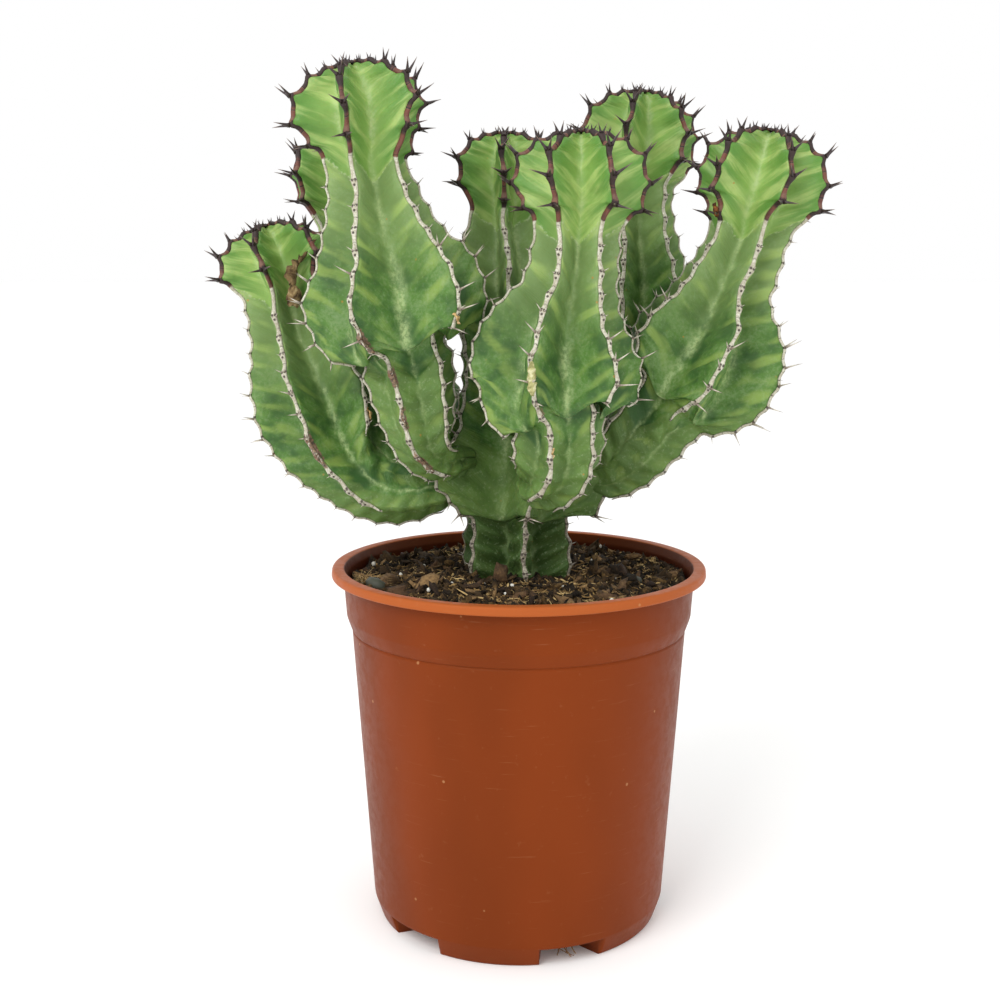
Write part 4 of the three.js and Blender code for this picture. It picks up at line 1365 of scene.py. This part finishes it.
        tip = rows.tip - rows.along[-1] * INSET
        return closed(skin, rows.centre[0], tip, lay=lay, state=state, beat=beat)

    def margin(self, rib: Rib) -> Patch:
        """A rib's horny margin: a low oval strip over the crest.

        Its section is half width * sin(a) sideways and half height * (cos(a) - 1) down from the
        top, for a right round; it is widest at the teeth.

        Args:
            rib: the rib.

        Returns:
            The closed strip with its marks.
        """
        rows, keep = self.rows, rib.horned
        above = rib.above_tooth()
        near = np.exp(-((above / 2.2) ** 2))
        old = np.clip(rib.age, 0, 1)
        young_half, old_half = (self.margin_half * (low + gain * near) for low, gain in self.margin_swell)
        half = young_half * (1 - old) + old_half * old
        half = np.minimum(half, 0.25 + rows.girth * 0.12) * np.where(rows.girth > 30, 0.86, 1.0)
        narrow = 0.35 + 0.65 * smooth(rib.depth[keep].max() - rib.depth, 0, 7)
        deep = self.margin_depth(rib) * narrow
        top = rib.crest + rib.normal * rib.rise[:, None] + rib.side * rib.sway[:, None]
        a = np.radians(np.array([-165, -125, -88, -58, -28, 0, 28, 58, 88, 125, 165.0]))
        across = (half * narrow)[:, None] * (np.sign(np.sin(a)) * np.abs(np.sin(a)) ** 0.8)
        skin = top[:, None] + rib.side[:, None] * across[..., None]
        skin = (skin + rib.normal[:, None] * (deep[:, None] * (np.cos(a) - 1))[..., None])[keep]
        crowded = np.clip(9.0 / np.interp(rib.depth, rib.teeth, np.gradient(rib.teeth)), 1.0, 2.0)
        marks = np.broadcast_arrays((above * crowded)[:, None], across, rib.age[:, None])
        return closed(skin, skin[0].mean(0), rows.tip + rows.along[-1] * -0.6,
                      tooth=np.stack(marks, -1)[keep], cork=self.cork_at(skin))

    def bud(self) -> Patch:
        """The growing tip: a low knobby dome of radius 2.6 mm where the margins meet, as a closed patch."""
        out, _, side = self.rows.spoke(0.0)
        out, side, up, tip = out[-1], side[-1], self.rows.along[-1], self.rows.tip
        t = np.linspace(math.pi / 2, 0.12, 7)[:, None]
        a = np.arange(18)[None] / 18 * TURN
        r = 2.6 * np.sin(t) * (1 + 0.14 * np.sin(3 * a + self.growth.seed))
        lift = 1.5 * np.cos(t) + 0.3 * np.sin(6 * a + t * 7) * np.sin(t) - 1.2
        skin = tip + (r * np.cos(a))[..., None] * out + (r * np.sin(a))[..., None] * side
        skin = skin + lift[..., None] * up
        tooth = np.broadcast_to([-1.0, 0.0, 0.0], skin.shape)
        return closed(skin, tip - up * 1.6, tip + up * 0.2, tooth=tooth, cork=np.zeros(skin.shape[:2]))

    def spines(self, others: list[Stem]) -> Patch:
        """A pair of spines on each tooth: curved cones that part in a V, outwards and upwards.

        A spine's way is 0.78 normal + 0.52 aside + 0.34 along, made a unit. Crown spines are longest
        where the rib is widest. On old growth they are short stubs, but long on the widest ribs.

        Args:
            others: the other stems, which spines keep clear of.

        Returns:
            The spines with the marks "reach" and "age".
        """
        rng = np.random.default_rng(self.growth.seed + 500)
        feet, ways, longs, ages, thick = [], [], [], [], []
        for rib in self.ribs:
            at = np.abs(rib.depth[:, None] - rib.teeth[None]).argmin(0)
            at = at[rib.horned[np.maximum(at - 2, 0)]]
            foot = rib.crest[at] + rib.normal[at] * (rib.rise[at] - 0.5)[:, None]
            foot = foot + rib.side[at] * rib.sway[at, None]
            girth, age = self.rows.girth[at], np.clip(rib.age[at], 0, 1)
            for hand in (-1, 1):
                chance = rng.uniform(size=len(at))
                way = 0.78 * rib.normal[at] + 0.52 * hand * rib.side[at] + 0.34 * self.rows.along[at]
                ways.append(unit(way + rng.normal(scale=0.09, size=way.shape)))
                young = SPINE_LENGTH * (0.35 + 0.65 * smooth(girth, 8, 26))
                old = 2.3 + 5.6 * smooth(girth, 24, 34) + 1.4 * (chance > 0.75)
                long = (young * (1 - age) + old * age) * rng.uniform(0.84, 1.06, len(at))
                longs.append(np.where((age > 0.5) & (chance < 0.16), 0.0, long))
                feet.append(foot + rib.side[at] * 0.45 * hand)
                ages.append(age)
                thick.append((0.62 - 0.24 * age) * np.clip(long / 6.0, 0.5, 1.0))
        foot, way, long, age, thick = (np.concatenate(part) for part in (feet, ways, longs, ages, thick))
        tip = foot + way * long[:, None]
        low, high = (np.array(c) * 1000 for c in CAD_BOX)
        room = np.where(tip > foot, high - 0.3 - foot, foot - low - 0.3)
        held = np.min(room / np.maximum(np.abs(tip - foot), 1e-3), -1)
        long = long * np.clip(held, 0.3, 1.0)
        clear = long > 0.5
        for other in others:
            mid = foot + way * (long * 0.6)[:, None]
            centre, girth = other.rows.centre[None, ::4], other.rows.girth[None, ::4]
            far = np.linalg.norm(mid[:, None] - centre, axis=-1) - girth
            clear &= far.min(1) > 0.8
        foot, way, long, age, thick = (part[clear] for part in (foot, way, long, age, thick))
        s = np.linspace(0, 1, len(SPINE_TAPER))[None, :, None]
        bend = unit(np.cross(way, rng.normal(size=way.shape)))[:, None] * (0.05 * long)[:, None, None]
        path = foot[:, None] + way[:, None] * long[:, None, None] * s + bend * s**2
        patch = tubes(path, thick[:, None] * np.array(SPINE_TAPER)[None], 6)
        patch.marks["age"] = patch.each(age)
        return patch

    def build(self, others: list[Stem], skin: bpy.types.Material, horn: bpy.types.Material,
              spine: bpy.types.Material) -> None:
        """Places the flesh, the margins and the spines.

        Args:
            others: the other stems.
            skin: material of the flesh.
            horn: material of the margins.
            spine: material of the spines.
        """
        name = self.growth.name
        flesh = placed(self.flesh(), name + "_flesh", skin)
        strips = [self.margin(rib) for rib in self.ribs]
        margins = placed(self.bud().joined(strips), name + "_margins", horn)
        placed(self.spines(others), name + "_spine_pairs", spine)
        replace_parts(flesh, name)
        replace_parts(margins, name + "_spines")


@dataclass(frozen=True)
class DryPiece:
    """Dry matter on the plant, in knobby tubes: a flower stalk, a callus, resin or scraps of dead skin."""

    finish: Litter  # the piece has its name
    lines: tuple[tuple[Point, ...], ...]
    width: tuple[float, ...]  # radius along each line
    flat: float = 0.8  # thickness over width
    rings: int = 18
    knobs: tuple[float, tuple[float, float], int] = (0.28, (1.4, 4.5), 91)  # mm, wavelengths, seed
    shades: tuple[float, tuple[float, float], int] = (0.35, (1.5, 5), 92)  # the same for the tone
    outwards: bool = False  # whether knobs move points away from the piece's middle

    def build(self) -> None:
        """Runs a tube through each line and moves its points by a soft random field."""
        places = np.linspace(0, len(self.lines[0]) - 1, self.rings)
        paths = np.stack([curve_through(np.array(line, dtype=float), places)[0] for line in self.lines])
        wide = np.interp(places, np.arange(len(self.width)), self.width)
        patch = tubes(paths, np.broadcast_to(wide, paths.shape[:2]), 12, self.flat)
        way = unit(patch.points - patch.points.mean(0)) if self.outwards else 1.0
        patch.points += self.knobs[0] * waves(patch.points, *self.knobs[1:])[:, None] * way
        patch.marks = {"tone": 0.5 + self.shades[0] * waves(patch.points, *self.shades[1:])}
        placed(patch, self.finish.name, self.finish.make())


DRY_PIECES = (
    DryPiece(
        Litter("dried_stalk", ("#46341f", "#8a724c", "#bda77a"), 0.9, 0.9),
        (((-89, -9, 308), (-92, -11, 303), (-96, -12.5, 298.5), (-98.5, -13.5, 294), (-98, -13.5, 289),
          (-97.5, -14, 284), (-98, -14, 280)),),
        (0.6, 0.7, 1.0, 2.7, 1.4, 3.7, 2.2),  # it swells at the dried flower cups
        1.0, 40, (0.75, (1.4, 4), 77), (0.3, (2, 6), 78), True,
    ),
    DryPiece(
        Litter("callus_scar", ("#878453", "#b0ac75", "#cfcba0"), 0.8, 0.3, 0.75),
        (((3.6, -80.9, 260.5), (3.7, -81.2, 257), (3.8, -81.5, 253.5), (3.9, -81.4, 250),
          (4.1, -80.6, 247)),),
        (1.1, 1.9, 2.0, 1.9, 1.0),
    ),
    DryPiece(
        Litter("resin_lump", ("#46240f", "#7d461d", "#a8742f"), 0.8, 0.3, 0.75),
        (((82.9, -24.6, 317.5), (82.0, -26.0, 320.3), (81.2, -27.1, 323)),),
        (0.7, 1.6, 0.7),
    ),
    DryPiece(
        Litter("skin_scraps", ("#8a6a3c", "#bfa069", "#dcc898"), 0.8, 0.3, 0.75),
        (((-27.5, -64.4, 279), (-25.6, -65.4, 277), (-24.4, -65.2, 274)),
         ((-65.5, -24.6, 237), (-64.2, -25.2, 234), (-64.6, -24.6, 231)),
         ((13.0, -68.0, 225), (12.8, -67.6, 222.5), (12.6, -66.0, 219.5))),
        (0.5, 1.1, 0.4), 0.45,
    ),
)


@dataclass
class RootTips:
    """Fine roots and fibres that hang out of the front drainage notch."""

    count: int = 5
    middle: float = 20.0  # degrees from the front
    seed: int = 5

    def build(self) -> None:
        """Lets each root start under the floor, sag and run outwards along the ground."""
        rng = np.random.default_rng(self.seed)
        each = (self.count, 1)
        s = np.linspace(0, 1, 8)[None]
        angle = np.radians(self.middle + rng.uniform(-6, 6, each) + rng.normal(0, 5, each) * s)
        reach = 52 + rng.uniform(4, 10, each) * s
        height = 0.7 + rng.uniform(4.5, 6.8, each) * (1 - s) ** rng.uniform(0.8, 2.4, each)
        patch = tubes(polar(reach, angle, height), rng.uniform(0.3, 0.55, each) * (1 - 0.6 * s), 6)
        patch.marks = {"tone": patch.each(rng.uniform(0.2, 1, self.count))}
        skin = Litter("root_tips", ("#6a4a2e", "#94714a", "#b99a6c"), 0.8, 0.15).make()
        placed(patch, "root_tips", skin)


# ------------------------------------------------------------------ studio


@dataclass
class Studio:
    """Pale floor, soft light all round and a large soft light from the front left."""

    camera_place: Point = (-8.5, -613.6, 294.8)
    camera_pitch: float = 80.54
    lens: float = 49.365
    sensor: float = 36.0
    floor_half: float = 40.0  # metres
    floor_glow: float = 0.03  # lifts the far floor to the white of the world behind it
    key: tuple[float, float] = (1.1, 22.0)  # width in metres and power in watts
    fill: tuple[float, float] = (1.2, 2.0)

    def build(self) -> None:
        """Makes the floor, the lights and the camera."""
        mesh, half = bpy.data.meshes.new("floor"), self.floor_half
        corners = [(-half, -half, 0), (half, -half, 0), (half, half, 0), (-half, half, 0)]
        mesh.from_pydata(corners, [], [(0, 1, 2, 3)])
        floor = bpy.data.objects.new("floor", mesh)
        bpy.context.scene.collection.objects.link(floor)
        paint = Painter("pale_floor", roughness=0.9, emission_strength=self.floor_glow)
        paint.shader.inputs["Base Color"].default_value = linear("#fdfdfc")
        mesh.materials.append(paint.material)
        world = bpy.data.worlds.new("studio")
        world.use_nodes = True
        world.node_tree.nodes["Background"].inputs[0].default_value = linear("#ffffff")
        world.node_tree.nodes["Background"].inputs[1].default_value = 1.0
        bpy.context.scene.world = world
        self.light("key", (-0.9, -1.3, 1.5), *self.key)
        self.light("fill", (1.2, -1.0, 0.8), *self.fill)
        data = bpy.data.cameras.new("camera")
        data.lens, data.sensor_width, data.clip_start = self.lens, self.sensor, 0.01
        camera = bpy.data.objects.new("camera", data)
        camera.location = [v / 1000 for v in self.camera_place]
        camera.rotation_euler = (math.radians(self.camera_pitch), 0, 0)
        bpy.context.scene.collection.objects.link(camera)
        bpy.context.scene.camera = camera
        bpy.context.scene.view_settings.view_transform = "Standard"

    @staticmethod
    def light(name: str, place: Point, size: float, power: float) -> None:
        """Adds a square soft light that looks at the plant, 0.2 m above the floor.

        Args:
            name: the light's name.
            place: where it hangs, in metres.
            size: its width in metres.
            power: its power in watts.
        """
        data = bpy.data.lights.new(name, "AREA")
        data.energy, data.size = power, size
        lamp = bpy.data.objects.new(name, data)
        lamp.location = place
        x, y, z = place[0], place[1], place[2] - 0.2
        lamp.rotation_euler = (math.atan2(math.hypot(x, y), z), 0, math.atan2(x, -y))
        bpy.context.scene.collection.objects.link(lamp)


def main() -> None:
    """Builds the pot, the mix, the stems, what is dry on them and the studio in that order."""
    logging.basicConfig(level=logging.INFO, format="%(name)s: %(message)s")
    Pot().build()
    PottingMix().build()
    skin, horn, spine = PlantSkin().make(), HornyMargin().make(), SpineHorn().make()
    stems = [Stem(growth) for growth in (MAIN_STEM, *ARMS)]
    for stem in stems:
        stem.build([other for other in stems if other is not stem], skin, horn, spine)
    for piece in DRY_PIECES:
        piece.build()
    RootTips().build()
    Studio().build()


if __name__ == "__main__":
    main()
